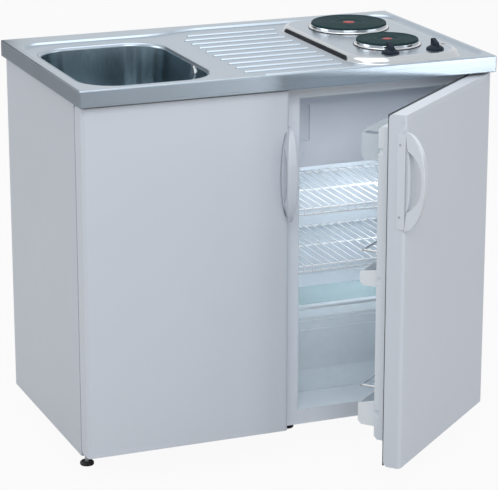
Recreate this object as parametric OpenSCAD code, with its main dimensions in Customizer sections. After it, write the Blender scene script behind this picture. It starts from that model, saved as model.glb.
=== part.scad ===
// Kitchenette unit: a pressed steel worktop with a sink, a drainer and two hotplates, over a
// sink cupboard on the left and a small refrigerator on the right, whose door stands open.
// Millimetres, +Z up, +Y to the wall, +X to the right as one faces the doors. The modules are
// drawn round the middle of the worktop's footprint on the floor, and placed() then moves them
// to the middle of the whole unit with its open door.

/* [Worktop] */
// Width of the worktop
top_w = 1000; // [960:1:1100]
// Depth of the worktop
top_d = 600; // [590:1:640]
// Height of the worktop above the floor
top_z = 900; // [890:1:920]
// Height of the folded edge
edge_h = 38; // [34:1:44]
// Radius of the fold between top and edge
edge_r = 3; // [2:0.5:4]
// Thickness of the steel sheet
sheet = 1.2; // [1:0.1:1.5]
// Width of the strip folded back under the edge
fold_w = 14; // [12:1:20]
// Depth of the pressed field below the rim
field_drop = 5; // [3:0.5:7]
// Rim left of the field
rim_left = 22; // [16:1:28]
// Rim right of the field
rim_right = 13; // [10:1:20]
// Rim in front of the field
rim_front = 11; // [9:1:16]
// Rim behind the sink
rim_rear_sink = 68; // [60:1:75]
// Rim behind the drainer and the hob
rim_rear_hob = 38; // [30:1:44]
// Corner radius of the field
field_r = 55; // [40:1:65]

/* [Sink] */
// Width of the bowl's mouth
bowl_w = 301; // [280:1:310]
// Depth of the bowl's mouth, front to back
bowl_l = 428; // [400:1:440]
// Depth of the bowl below the field
bowl_deep = 155; // [130:1:165]
// Corner radius of the bowl's mouth
bowl_r = 85; // [70:1:95]
// Radius between wall and floor of the bowl
bowl_fillet = 45; // [30:1:55]
// How far the bowl's wall leans in
bowl_draft = 8; // [5:1:12]
// Distance from the worktop's left edge to the bowl
bowl_left = 39; // [36:1:44]
// Distance from the worktop's front edge to the bowl
bowl_front = 50; // [44:1:56]
// Radius of the waste hole
waste_r = 43; // [40:0.5:45]
// Radius of the overflow hole
overflow_r = 12; // [10:0.5:13]
// Overflow below the field
overflow_drop = 24; // [21:1:40]
// Overflow from the front of the bowl
overflow_in = 162; // [150:1:240]

/* [Drainer] */
// Number of ribs
rib_count = 11; // [7:1:11]
// Distance from rib to rib
rib_pitch = 47; // [44:1:47]
// Width of a rib
rib_w = 12; // [9:1:14]
// Height of a rib
rib_h = 3.5; // [2.5:0.5:4.5]
// Length of a middle rib
rib_l = 243; // [220:1:243]
// Distance from the worktop's front edge to the first rib
rib_front = 24; // [23:1:28]
// Distance from the worktop's left edge to the middle ribs
rib_left = 404; // [402:1:420]

/* [Hob] */
// Width of the raised hob
hob_w = 282; // [270:1:286]
// Depth of the raised hob, front to back
hob_l = 508; // [490:1:520]
// Height of the hob above the field
hob_h = 14; // [10:1:18]
// Corner radius of the hob at its foot
hob_r = 80; // [60:1:90]
// Distance from the worktop's right edge to the hob
hob_right = 53; // [50:1:60]
// Distance from the worktop's front edge to the hob
hob_front = 22; // [20:1:28]
// How much further the hob's front side leans back than the others
hob_lean = 8; // [4:1:10]
// Radius of the rear hotplate
plate_rear_r = 90; // [85:1:92]
// Radius of the front hotplate
plate_front_r = 72.5; // [65:0.5:75]
// Distance from the hob's front to the middle of the front hotplate
plate_front_in = 154; // [150:1:160]
// Distance between the hotplates' middles
plate_gap = 216; // [205:1:220]
// Height of a hotplate's top above the hob
plate_rise = 14; // [11:1:17]
// Thickness of a hotplate
plate_t = 12; // [10:1:14]
// Width of a hotplate's trim ring
ring_w = 6; // [5:1:8]
// Distance from the hob's front to the knobs
knob_in = 56; // [50:1:60]
// Distance between the knobs
knob_gap = 113; // [100:1:120]
// Distance from the hob's right foot to the right knob
knob_right = 66; // [60:1:80]
// Radius of a knob's skirt
knob_r = 20.5; // [18:0.5:22]
// Height of a knob
knob_h = 24; // [20:1:28]
// Radius of a switch spindle
spindle_r = 3; // [2.5:0.5:4]

/* [Cupboard] */
// How far the sides stand in from the worktop's edge
side_in = 9.5; // [8:0.5:14]
// How far the carcass stands behind the worktop's front edge
front_in = 72; // [68:1:78]
// How far the carcass stands in from the worktop's rear edge
back_in = 11; // [8:1:16]
// Height of the carcass above the floor
base_z = 42; // [38:1:50]
// Thickness of the folded sides
wall_t = 16; // [14:1:20]
// Steel sheet of the carcass
skin = 1; // [0.8:0.1:1.5]
// Height of the cupboard floor above the carcass's foot
floor_up = 34; // [30:1:40]
// Width of the refrigerator, which sets where the cupboard ends
fridge_w = 492; // [480:1:496]
// Gap between cupboard and refrigerator
unit_gap = 2; // [1:0.5:4]

/* [Doors] */
// Distance from the worktop's front edge to the doors' faces
face_in = 20; // [18:1:24]
// Height of the doors
door_h = 804; // [790:1:808]
// Height of the doors' foot above the floor
door_z = 52; // [52:1:58]
// Gap between the doors
door_gap = 4; // [3.5:0.5:6]
// Thickness of the refrigerator door's shell
fridge_door_t = 40; // [36:1:41]
// Thickness of the cupboard door
cup_door_t = 47; // [44:1:48]
// Thickness of the cupboard door between its boxed sides
cup_pan_t = 20; // [16:1:22]
// Radius of the doors' long front edges
door_r = 9; // [6:1:12]
// Height of the caps at the doors' ends
cap_h = 12; // [11:1:16]
// Radius of the caps' inner long edges
cap_r = 11; // [6:1:11]
// Distance from a door's side to its hinge pin
pin_in = 10; // [9:0.5:12]
// Distance from a door's face to its hinge pin
pin_back = 18; // [16:1:20]
// Radius of a hinge pin
pin_r = 4; // [3:0.5:5]
// Radial play of a hinge pin
pin_play = 0.05; // [0.02:0.01:0.08]
// Angle at which the refrigerator door stands open
open_angle = 41; // [30:1:60]

/* [Handles] */
// Length of a handle
grip_l = 220; // [200:1:230]
// How far a handle stands out
grip_out = 46; // [42:1:56]
// Width of a handle at its middle
grip_w = 24; // [20:1:28]
// Length of the finger hole
hole_l = 136; // [130:1:150]
// Thickness of the bow at its middle
bow_t = 8; // [7:1:12]
// Height of the ridge behind the fingers
ridge_t = 12; // [6:1:13]
// Thickness of the handle's strip on the door's side
grip_lip = 1.5; // [1:0.1:1.6]
// Rounding of the handle's edges
grip_soft = 3; // [2:0.5:4]
// Height of the middle of the cupboard door's handle above the floor
cup_grip_z = 664; // [600:1:720]
// Height of the middle of the refrigerator door's handle above the floor
fridge_grip_z = 711; // [600:1:735]

/* [Refrigerator] */
// Thickness of the refrigerator's walls
fridge_wall = 38; // [30:1:40]
// Gap between refrigerator and worktop
fridge_top_gap = 4; // [4:0.5:10]
// Depth of the refrigerator's case
fridge_d = 453; // [440:1:460]
// Height of the refrigerator's inner floor above the carcass's foot
fridge_floor = 35; // [30:1:40]
// Thickness of the inner liner
liner_t = 2; // [1.5:0.5:3]
// Depth of the compressor's niche
niche_d = 165; // [150:1:170]
// Height of the compressor's niche
niche_h = 185; // [170:1:190]
// How far the shelves stand behind the case's front
shelf_back = 90; // [90:1:100]
// Height of the freezer flap's foot above the floor
flap_z = 638; // [630:1:650]
// Height of the freezer flap
flap_h = 164; // [150:1:166]
// Thickness of the freezer flap
flap_t = 12; // [10:1:14]
// Height of the upper wire shelf above the floor
wire_high = 535; // [520:1:545]
// Height of the lower wire shelf above the floor
wire_low = 396; // [385:1:410]
// Distance between the shelves' cross wires
wire_pitch = 22; // [20:1:26]
// Height of the glass shelf above the floor
glass_z = 290; // [288:1:300]
// Height of the crisper
crisper_h = 190; // [170:1:195]
// Depth of the racks on the door's inside
rack_d = 90; // [80:1:90]

/* [Feet] */
// Radius of a foot
foot_r = 16; // [13:1:20]
// Height of a foot's disc
foot_h = 9; // [7:1:12]
// Radius of a foot's stem
stem_r = 5; // [4:0.5:6]

/* [Hidden] */
$fn = 48;
over = 0.5;        // how far a cutter reaches past a face
seat = 0.3;        // least gap between pieces that move past each other
white = [0.86, 0.88, 0.92];
liner_white = [0.90, 0.94, 0.97];
steel = [0.66, 0.70, 0.74];
black = [0.06, 0.06, 0.07];
clear_blue = [0.75, 0.86, 0.92, 0.5];

// worktop
left_x = -top_w / 2;
right_x = top_w / 2;
front_y = -top_d / 2;
rear_y = top_d / 2;
body_top = top_z - edge_h;
field_z = top_z - field_drop;
under_z = field_z - sheet;
bowl_x = left_x + bowl_left;
bowl_y = front_y + bowl_front;
bowl_z = field_z - bowl_deep;
waste_x = bowl_x + bowl_w / 2;
waste_y = bowl_y + bowl_l / 2;
overflow_y = bowl_y + overflow_in;
overflow_z = field_z - overflow_drop;
hob_x = right_x - hob_right - hob_w;
hob_y = front_y + hob_front;
hob_top = field_z + hob_h;
hob_mid = hob_x + hob_w / 2;
front_plate_y = hob_y + plate_front_in;
rear_plate_y = front_plate_y + plate_gap;
knob_y = hob_y + knob_in;
knob_right_x = hob_x + hob_w - knob_right;
knob_left_x = knob_right_x - knob_gap;
knob_z = hob_top + seat;
// inset and height of the raised hob's side, from foot to top
hob_side = [[0, 0], [3, 0.5], [7, 0.82], [13, 1]];

// carcass
body_x = left_x + side_in;
body_y = front_y + front_in;
body_back = rear_y - back_in;
fridge_x = right_x - 6 - fridge_w;
fridge_right = fridge_x + fridge_w;
cup_right = fridge_x - unit_gap;
floor_z = base_z + floor_up;
fridge_z = body_top - fridge_top_gap;
fridge_back = body_y + fridge_d;

// doors
face_y = front_y + face_in;
pin_y = face_y + pin_back;
door_top = door_z + door_h;
fridge_door_x = fridge_x - 2.5;
cup_door_right = fridge_door_x - door_gap;
cup_pin_x = body_x + pin_in;
fridge_pin_x = fridge_right - pin_in;
hinge_t = 1.6;
pin_l = cap_h - 2;

// refrigerator inside
room_x = fridge_x + fridge_wall;
room_right = fridge_right - fridge_wall;
room_z = base_z + fridge_floor;
room_top = fridge_z - fridge_wall + 6;
room_back = fridge_back - fridge_wall;
step_y = fridge_back - niche_d - fridge_wall;
step_z = base_z + niche_h + fridge_wall;
liner_x = room_x + liner_t;
liner_right = room_right - liner_t;
liner_back = room_back - liner_t;
shelf_y = body_y + shelf_back;
ledge = 8;

// the middle of the whole unit with the door standing open, when the handle's bow reaches furthest
// forward and the corner of the door may reach past the worktop
reach_a = pin_back + grip_out;
reach_b = fridge_pin_x - fridge_door_x + grip_lip - grip_soft;
foremost_y = pin_y - reach_b * sin(open_angle) - reach_a * cos(open_angle);
corner_x = fridge_pin_x + (pin_in - door_r) * cos(open_angle) + (pin_back - door_r) * sin(open_angle) + door_r;
centre_x = (max(corner_x, right_x) - right_x) / 2;
centre_y = (rear_y + foremost_y) / 2;

// ---------- helpers ----------
module placed() {
    translate([-centre_x, -centre_y, 0]) children();
}

module opened() {
    translate([fridge_pin_x, pin_y, 0])
        rotate([0, 0, open_angle])
            translate([-fridge_pin_x, -pin_y, 0])
                children();
}

module box(low, high) {
    translate(low) cube(high - low);
}

module rod_z(x, y, z, r, l) {
    translate([x, y, z]) cylinder(r = r, h = l);
}

module rod_x(x, y, z, r, l) {
    translate([x, y, z]) rotate([0, 90, 0]) cylinder(r = r, h = l);
}

module rod_y(x, y, z, r, l) {
    translate([x, y, z]) rotate([-90, 0, 0]) cylinder(r = r, h = l);
}

// extrudes an outline drawn in Y and Z along X
module along_x(x, l) {
    translate([x, 0, 0]) rotate([90, 0, 90]) linear_extrude(l) children();
}

// extrudes an outline drawn in X and Z along Y
module along_y(y, l) {
    translate([0, y + l, 0]) rotate([90, 0, 0]) linear_extrude(l) children();
}

// a rectangle with round corners
module pad(x, y, w, l, r, inset = 0) {
    rr = max(r - inset, 1);
    a = [x + inset, y + inset];
    b = [x + w - inset, y + l - inset];
    translate([a[0] + rr, a[1]]) square([b[0] - a[0] - 2 * rr, b[1] - a[1]]);
    translate([a[0], a[1] + rr]) square([b[0] - a[0], b[1] - a[1] - 2 * rr]);
    for (cx = [a[0] + rr, b[0] - rr], cy = [a[1] + rr, b[1] - rr])
        translate([cx, cy]) circle(rr);
}

function arc(x, y, r, from, to, n = 8) =
    [for (i = [0:n]) [x + r * cos(from + (to - from) * i / n), y + r * sin(from + (to - from) * i / n)]];

// ---------- worktop ----------
// the field's outline grown by g: straight in front, stepped back in a curve behind the sink
function field_outline(g) =
    let (x0 = left_x + rim_left, x1 = right_x - rim_right, y0 = front_y + rim_front,
         ys = rear_y - rim_rear_sink, yh = rear_y - rim_rear_hob, r = field_r,
         s0 = bowl_x + bowl_w + 27, s1 = s0 + 76)
    concat(
        arc(x0 + r, y0 + r, r + g, 180, 270),
        arc(x1 - r, y0 + r, r + g, 270, 360),
        arc(x1 - r, yh - r, r + g, 0, 90),
        [for (i = [0:10]) [s1 - (s1 - s0) * i / 10, ys + g + (yh - ys) * (1 + cos(18 * i)) / 2]],
        arc(x0 + r, ys - r, r + g, 90, 180)
    );

module rounded_lid(inset, z, r) {
    x0 = left_x + inset;
    x1 = right_x - inset;
    y0 = front_y + inset;
    y1 = rear_y - inset;
    z1 = top_z - inset;
    box([x0, y0 + r, z], [x1, y1 - r, z1 - r]);
    box([x0 + r, y0, z], [x1 - r, y1, z1 - r]);
    box([x0 + r, y0 + r, z], [x1 - r, y1 - r, z1]);
    for (x = [x0 + r, x1 - r]) {
        rod_y(x, y0 + r, z1 - r, r, y1 - y0 - 2 * r);
        for (y = [y0 + r, y1 - r]) {
            rod_z(x, y, z, r, z1 - r - z);
            translate([x, y, z1 - r]) sphere(r);
        }
    }
    for (y = [y0 + r, y1 - r]) rod_x(x0 + r, y, z1 - r, r, x1 - x0 - 2 * r);
}

module ribs() {
    crown = (rib_w * rib_w / 4 + rib_h * rib_h) / (2 * rib_h);
    axis_z = field_z + rib_h - crown;
    intersection() {
        for (i = [0:rib_count - 1]) {
            first = i == 0 ? 30 : (i == rib_count - 1 ? 24 : 0);
            last = i == 0 ? 24 : (i == rib_count - 1 ? 14 : 0);
            y = front_y + rib_front + i * rib_pitch;
            x0 = left_x + rib_left + first + rib_w / 2;
            x1 = left_x + rib_left + rib_l + last - rib_w / 2;
            rod_x(x0, y, axis_z, crown, x1 - x0);
            for (x = [x0, x1]) translate([x, y, axis_z]) sphere(crown);
        }
        box([left_x, front_y, field_z - sheet / 2], [right_x, rear_y, top_z]);
    }
}

// the raised hob as one rounded block, shrunk by the sheet for its inside
module hob_block(shrink, foot_z) {
    hull() {
        translate([0, 0, foot_z])
            linear_extrude(0.1)
                pad(hob_x, hob_y, hob_w, hob_l, hob_r, shrink, $fn = 32);
        for (s = hob_side) {
            lean = hob_lean * s[0] / hob_side[3][0];
            translate([0, 0, field_z + hob_h * s[1] - shrink - 0.1])
                linear_extrude(0.1)
                    pad(hob_x, hob_y + lean, hob_w, hob_l - lean, hob_r, s[0] + shrink, $fn = 32);
        }
    }
}

module worktop() {
    color(steel) difference() {
        union() {
            difference() {
                rounded_lid(0, body_top, edge_r);
                rounded_lid(sheet, body_top - over, edge_r - sheet);
            }
            difference() {
                box([left_x + sheet / 2, front_y + sheet / 2, body_top],
                    [right_x - sheet / 2, rear_y - sheet / 2, body_top + sheet]);
                box([left_x + fold_w, front_y + fold_w, body_top - over],
                    [right_x - fold_w, rear_y - fold_w, body_top + sheet + over]);
            }
            translate([0, 0, under_z])
                linear_extrude(top_z - under_z)
                    polygon(field_outline(sheet));
        }
        difference() {
            translate([0, 0, field_z])
                linear_extrude(field_drop + over)
                    polygon(field_outline(0));
            hob_block(0, field_z - over);
            ribs();
        }
        hob_block(sheet, under_z - over);
        translate([0, 0, under_z - over])
            linear_extrude(sheet + 2 * over)
                pad(bowl_x, bowl_y, bowl_w, bowl_l, bowl_r);
        rod_z(hob_mid, rear_plate_y, field_z, plate_rear_r - 8, hob_h + over);
        rod_z(hob_mid, front_plate_y, field_z, plate_front_r - 8, hob_h + over);
        for (x = [knob_left_x, knob_right_x]) rod_z(x, knob_y, field_z, spindle_r + 2, hob_h + over);
    }
    color(steel) difference() {
        hob_block(0, under_z + 0.1);
        hob_block(sheet, under_z - over);
        rod_z(hob_mid, rear_plate_y, field_z, plate_rear_r - 8, hob_h + over);
        rod_z(hob_mid, front_plate_y, field_z, plate_front_r - 8, hob_h + over);
        for (x = [knob_left_x, knob_right_x]) rod_z(x, knob_y, field_z, spindle_r + 2, hob_h + over);
    }
}

module support_board() {
    z0 = body_top + sheet;
    color([0.72, 0.60, 0.44]) difference() {
        box([left_x + edge_r, front_y + edge_r, z0], [right_x - edge_r, rear_y - edge_r, under_z]);
        box([bowl_x + bowl_w, overflow_y - hose_r - 4, z0 - over],
            [hose_x + hose_r + 4, overflow_y + hose_r + 4, overflow_z + hose_r + 4]);
        translate([0, 0, z0 - over])
            linear_extrude(under_z - z0 + 2 * over)
                pad(bowl_x - 14, bowl_y - 14, bowl_w + 28, bowl_l + 28, bowl_r + 14);
        translate([0, 0, z0 - over])
            linear_extrude(under_z - z0 + 2 * over)
                pad(hob_x + 2, hob_y + 2, hob_w - 4, hob_l - 4, hob_r - 2);
    }
}

// ---------- sink ----------
bowl_gauge = 1;

// the bowl's inner form, grown by g
module bowl_form(g, z_top) {
    reach = bowl_draft + bowl_fillet;
    hull() {
        translate([0, 0, z_top - 0.1])
            linear_extrude(0.1)
                pad(bowl_x, bowl_y, bowl_w, bowl_l, bowl_r, -g, $fn = 40);
        for (a = [0:15:90])
            translate([0, 0, bowl_z + bowl_fillet * (1 - sin(a)) - g])
                linear_extrude(0.1)
                    pad(bowl_x, bowl_y, bowl_w, bowl_l, bowl_r, reach - bowl_fillet * cos(a) - g, $fn = 40);
    }
}

module sink_bowl() {
    color([0.45, 0.50, 0.54]) difference() {
        union() {
            bowl_form(bowl_gauge, under_z);
            translate([0, 0, under_z - bowl_gauge])
                linear_extrude(bowl_gauge)
                    pad(bowl_x - 10, bowl_y - 10, bowl_w + 20, bowl_l + 20, bowl_r + 10);
        }
        bowl_form(0, under_z + over);
        rod_z(waste_x, waste_y, bowl_z - 10, waste_r, 20);
        rod_x(bowl_x + bowl_w - 20, overflow_y, overflow_z, overflow_r, 40);
    }
}

lean_tan = bowl_draft / (bowl_deep - bowl_fillet - sheet);
bowl_wall_x = bowl_x + bowl_w - lean_tan * (overflow_drop - sheet);

module overflow_plate() {
    color(steel) difference() {
        union() {
            translate([bowl_wall_x - 0.05, overflow_y, overflow_z])
                rotate([0, 90 + atan(lean_tan), 0])
                    translate([0, 0, -3])
                        cylinder(r1 = overflow_r + 3, r2 = overflow_r + 6, h = 3);
            rod_x(bowl_wall_x - 1, overflow_y, overflow_z, overflow_r - 0.5, bowl_gauge + 13);
        }
        for (dz = [-6, 0, 6])
            box([bowl_wall_x - 8, overflow_y - 8 + abs(dz) / 3, overflow_z + dz - 1.5],
                [bowl_wall_x + 1, overflow_y + 8 - abs(dz) / 3, overflow_z + dz + 1.5]);
        rod_x(bowl_wall_x + 1, overflow_y, overflow_z, overflow_r - 3, 30);
    }
}

hose_r = 10;
hose_x = bowl_x + bowl_w + 34;
hose_z = bowl_z - 27;
hose_bend = 20;

module hose_elbow() {
    rotate_extrude(angle = 90) translate([hose_bend, 0]) circle(hose_r + 1.2);
}

module overflow_hose() {
    turn = atan2(overflow_y - waste_y, hose_x - waste_x);
    reach = norm([overflow_y - waste_y, hose_x - waste_x]);
    start_x = bowl_wall_x + bowl_gauge + 13;
    lap = 1;
    color([0.30, 0.31, 0.32]) {
        rod_x(start_x, overflow_y, overflow_z, hose_r, hose_x - hose_bend - start_x + lap);
        translate([hose_x - hose_bend, overflow_y, overflow_z - hose_bend])
            rotate([90, 0, 0])
                hose_elbow();
        rod_z(hose_x, overflow_y, hose_z + hose_bend - lap, hose_r,
            overflow_z - hose_z - 2 * hose_bend + 2 * lap);
        translate([waste_x, waste_y, 0]) rotate([0, 0, turn]) {
            translate([reach - hose_bend, 0, hose_z + hose_bend])
                rotate([-90, 0, 0])
                    hose_elbow();
            rod_x(waste_r + 8, 0, hose_z, hose_r, reach - hose_bend - waste_r - 8 + lap);
        }
    }
}

cup_wall = 3;
basket_r = waste_r - cup_wall - 1.5;
waste_depth = 42;

module waste_flange() {
    color(steel) translate([waste_x, waste_y, bowl_z]) rotate_extrude()
        polygon([
            [waste_r - cup_wall, 1], [waste_r + 1, 1.6], [waste_r + 10, 1.2], [waste_r + 12, 0],
            [waste_r, 0], [waste_r, -6], [waste_r - 2, -waste_depth], [14, -waste_depth],
            [14, -waste_depth + 2], [waste_r - cup_wall - 2, -waste_depth + 2], [waste_r - cup_wall, -6]
        ]);
}

module strainer_basket() {
    holes = [for (ring = [[12, 6], [20, 10], [28, 15]], i = [1:ring[1]]) [ring[0], 360 * i / ring[1]]];
    color(steel) translate([waste_x, waste_y, bowl_z]) {
        difference() {
            rotate_extrude()
                polygon([
                    [0, -30], [basket_r - 4, -30], [basket_r - 1, -26], [basket_r, 0.5],
                    [basket_r + 3, 1.6], [basket_r + 3, 2.8], [basket_r - 1, 2.2], [basket_r - 2.4, -25],
                    [basket_r - 5, -28.6], [0, -28.6]
                ]);
            for (h = holes)
                rotate([0, 0, h[1]]) translate([h[0], 0, -31]) cylinder(r = 1.8, h = 4);
        }
        translate([0, 0, -28.6]) cylinder(r = 3, h = 22);
        translate([0, 0, -6.6]) cylinder(r1 = 3, r2 = 9, h = 5);
        translate([0, 0, -1.6]) cylinder(r = 9, h = 3);
    }
}

module waste_body() {
    turn = atan2(overflow_y - waste_y, hose_x - waste_x);
    color([0.88, 0.88, 0.86]) translate([waste_x, waste_y, bowl_z]) {
        rotate_extrude()
            polygon([
                [waste_r + 11, -bowl_gauge], [waste_r + 11, -6], [waste_r + 4, -8], [waste_r + 4, -48],
                [24, -56], [24, -92], [20, -92], [20, -52], [waste_r + 0.5, -44], [waste_r + 0.5, -bowl_gauge]
            ]);
        rotate([0, 0, turn])
            rod_x(waste_r + 3, 0, hose_z - bowl_z, hose_r + 3, 5);
    }
}

trap_z = bowl_z - 92;
pipe_r = 20;
pipe_z = trap_z - 60;

trap_out = 40;

module trap_cup() {
    color([0.88, 0.88, 0.86]) translate([waste_x, waste_y, trap_z]) difference() {
        union() {
            rotate_extrude()
                polygon([
                    [0, -140], [30, -140], [35, -132], [35, -96], [38, -95], [38, -82], [35, -81],
                    [35, -24], [30, -14], [30, 0], [0, 0]
                ]);
            rod_y(0, 20, pipe_z - trap_z, pipe_r, trap_out - 20);
        }
        rotate_extrude()
            polygon([[0, -136], [28, -136], [32, -130], [32, -24], [24.5, -14], [24.5, 1], [0, 1]]);
        rod_y(0, 20, pipe_z - trap_z, pipe_r - 3, trap_out);
    }
}

module drain_pipe() {
    end_y = rear_y - 2;
    start_y = waste_y + trap_out;
    color([0.88, 0.88, 0.86]) difference() {
        union() {
            rod_y(waste_x, start_y, pipe_z, pipe_r, end_y - start_y);
            rod_y(waste_x, start_y, pipe_z, pipe_r + 8, 22);
        }
        rod_y(waste_x, start_y - 1, pipe_z, pipe_r - 3, end_y - start_y + 2);
        for (i = [0:11])
            translate([waste_x, start_y - 1, pipe_z])
                rotate([0, 30 * i, 0])
                    box([pipe_r + 7, 0, -1.5], [pipe_r + 10, 24, 1.5]);
    }
}

// ---------- hob ----------
module hotplate(y, r) {
    base = hob_top + plate_rise - plate_t;
    color(black) translate([hob_mid, y, base]) {
        difference() {
            rotate_extrude()
                polygon([
                    [0, 0], [r - 12, 0], [r - 10, 1], [r - 3, 1], [r, 4], [r, plate_t - 2],
                    [r - 1.5, plate_t], [r - 5, plate_t], [r - 6, plate_t - 0.6], [r * 0.34, plate_t - 0.6],
                    [r * 0.34 - 1, plate_t - 1.6], [0, plate_t - 1.6]
                ]);
            for (k = [0.52, 0.68, 0.84])
                translate([0, 0, plate_t - 0.9])
                    difference() {
                        cylinder(r = r * k + 0.8, h = 2);
                        translate([0, 0, -over]) cylinder(r = r * k - 0.8, h = 3);
                    }
        }
        translate([0, 0, -26]) cylinder(r = 4, h = 26);
        translate([0, 0, -9]) cylinder(r = r - 16, h = 9);
    }
}

module hotplate_rear() {
    hotplate(rear_plate_y, plate_rear_r);
}

module hotplate_front() {
    hotplate(front_plate_y, plate_front_r);
}

module trim_ring(y, r) {
    in_r = r - 9;
    rise = plate_rise - plate_t;
    color([0.80, 0.82, 0.84]) translate([hob_mid, y, hob_top]) rotate_extrude()
        polygon(concat(
            [[in_r, 0], [r + ring_w, 0]],
            arc(r + ring_w - 3, 0.5, 3, 0, 90, 5),
            [[r + 1.5, 4.2]],
            arc(r + 0.9, plate_rise - 5.4, 0.6, 0, 180, 4),
            [[r + 0.3, rise + 3], [r - 3, rise + 1], [in_r, rise + 1]]
        ));
}

module ring_rear() {
    trim_ring(rear_plate_y, plate_rear_r);
}

module ring_front() {
    trim_ring(front_plate_y, plate_front_r);
}

// a bar under each hotplate, drawn up by a nut on the plate's stud
module plate_clamps() {
    z = hob_top + plate_rise - plate_t - 18;
    color(steel) for (p = [[rear_plate_y, plate_rear_r], [front_plate_y, plate_front_r]]) {
        difference() {
            union() {
                box([hob_mid - p[1] + 1, p[0] - 12, z], [hob_mid + p[1] - 1, p[0] + 12, z + 2]);
                for (s = [-1, 1])
                    box([hob_mid + s * (p[1] - 4) - 3, p[0] - 12, z],
                        [hob_mid + s * (p[1] - 4) + 3, p[0] + 12, hob_top - sheet]);
            }
            rod_z(hob_mid, p[0], z - over, 4.1, 4);
        }
        translate([hob_mid, p[0], z - 5]) difference() {
            cylinder(r = 8, h = 5, $fn = 6);
            translate([0, 0, -over]) cylinder(r = 4.1, h = 7, $fn = 48);
        }
    }
}

module hob_tray() {
    x0 = hob_x + 4;
    x1 = hob_x + hob_w - 4;
    y0 = hob_y + 8;
    y1 = hob_y + hob_l - 8;
    z0 = body_top + sheet / 2;
    color(steel) difference() {
        translate([0, 0, z0])
            linear_extrude(under_z - z0)
                pad(x0, y0, x1 - x0, y1 - y0, hob_r - 8);
        translate([0, 0, z0 + 0.8])
            linear_extrude(under_z - z0)
                pad(x0, y0, x1 - x0, y1 - y0, hob_r - 8, 0.8);
        box([x0 + 30, y1 - 4, z0 + 8], [x0 + 60, y1 + 4, z0 + 22]);
    }
}

spindle_l = 16;

module hob_switches() {
    low = body_top + sheet / 2 + 0.8;
    color([0.85, 0.84, 0.80]) for (x = [knob_left_x, knob_right_x]) difference() {
        union() {
            box([x - 20, knob_y - 16, low], [x + 20, knob_y + 16, hob_top - sheet - 3]);
            box([x - 10, knob_y - 10, hob_top - sheet - 3], [x + 10, knob_y + 10, hob_top - sheet]);
        }
        rod_z(x, knob_y, knob_z - spindle_l - 1, spindle_r + pin_play, spindle_l + 2);
    }
}

module knob(x) {
    color([0.10, 0.11, 0.14]) translate([x, knob_y, knob_z]) {
        rotate_extrude()
            polygon([
                [0, 0], [knob_r, 0], [knob_r, 2.5], [knob_r - 2, 5], [knob_r - 6, 7.5], [11, 9.5], [0, 10]
            ]);
        intersection() {
            along_x(-4.5, 9)
                polygon([
                    [-13, 2], [15, 2], [15, knob_h - 3], [13, knob_h], [8, knob_h], [-10, knob_h - 7],
                    [-13, knob_h - 10]
                ]);
            cylinder(r = 15.2, h = knob_h + 1);
        }
        translate([0, 0, -spindle_l]) cylinder(r = spindle_r, h = spindle_l + 1);
    }
}

module knob_left() {
    difference() {
        knob(knob_left_x);
        spindle_flat(knob_left_x);
    }
}

module knob_right() {
    difference() {
        knob(knob_right_x);
        spindle_flat(knob_right_x);
    }
}

// the flat that a switch spindle has on one side
module spindle_flat(x) {
    box([x + spindle_r * 0.6, knob_y - 5, knob_z - spindle_l - over], [x + 6, knob_y + 5, knob_z - seat]);
}

// where the mains lead would enter, at the back of the carcass
module cable_gland() {
    color(black) translate([cup_right - wall_t - 60, body_back, 780]) rotate([-90, 0, 0]) difference() {
        union() {
            translate([0, 0, 0]) cylinder(r = 11, h = 6, $fn = 6);
            translate([0, 0, -9]) cylinder(r = 7.8, h = 9);
            translate([0, 0, 6]) cylinder(r1 = 9, r2 = 7, h = 4);
        }
        translate([0, 0, -10]) cylinder(r = 4, h = 21);
    }
}

// ---------- cupboard ----------
// a folded side: sheet outside, edges turned in front and back
module folded_side(x, outward) {
    z0 = base_z;
    lip = 22;
    color(white) translate([x, 0, 0]) mirror([outward < 0 ? 0 : 1, 0, 0]) {
        translate([0, 0, z0])
            linear_extrude(body_top - z0)
                polygon([
                    [0, body_y], [wall_t, body_y], [wall_t, body_y + lip], [wall_t - skin, body_y + lip],
                    [wall_t - skin, body_y + skin], [skin, body_y + skin], [skin, body_back - skin],
                    [wall_t - skin, body_back - skin], [wall_t - skin, body_back - lip],
                    [wall_t, body_back - lip], [wall_t, body_back], [0, body_back]
                ]);
        for (z = [z0, body_top - skin])
            box([skin / 2, body_y + skin / 2, z], [wall_t, body_back - skin / 2, z + skin]);
    }
}

module side_panel() {
    folded_side(body_x, -1);
}

module partition() {
    folded_side(cup_right, 1);
}

// the floor, a flat box of sheet that stands on the feet and is closed behind by the back
module cupboard_floor() {
    x0 = body_x + wall_t;
    x1 = cup_right - wall_t;
    y1 = body_back - 4;
    color(white) difference() {
        box([x0, body_y, base_z], [x1, y1, floor_z]);
        box([x0 + skin, body_y + skin, base_z + skin], [x1 - skin, y1 + over, floor_z - skin]);
    }
}

// magnet strip that holds the cupboard door shut
module door_magnet() {
    color(black) box([cup_right - wall_t + 3, body_y - 2.4, 770], [cup_right - 4, body_y, 820]);
}

module cupboard_back() {
    x0 = body_x + wall_t;
    x1 = cup_right - wall_t;
    gland_x = x1 - 60;
    color(white) difference() {
        box([x0, body_back - 4, base_z], [x1, body_back, body_top]);
        box([waste_x - 60, body_back - 5, pipe_z - 60], [waste_x + 60, body_back + 1, pipe_z + 60]);
        rod_y(gland_x, body_back - 5, 780, 8, 10);
        for (i = [0:5])
            box([waste_x - 60, body_back - 5, 180 + 14 * i], [waste_x + 60, body_back + 1, 186 + 14 * i]);
    }
}

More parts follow.
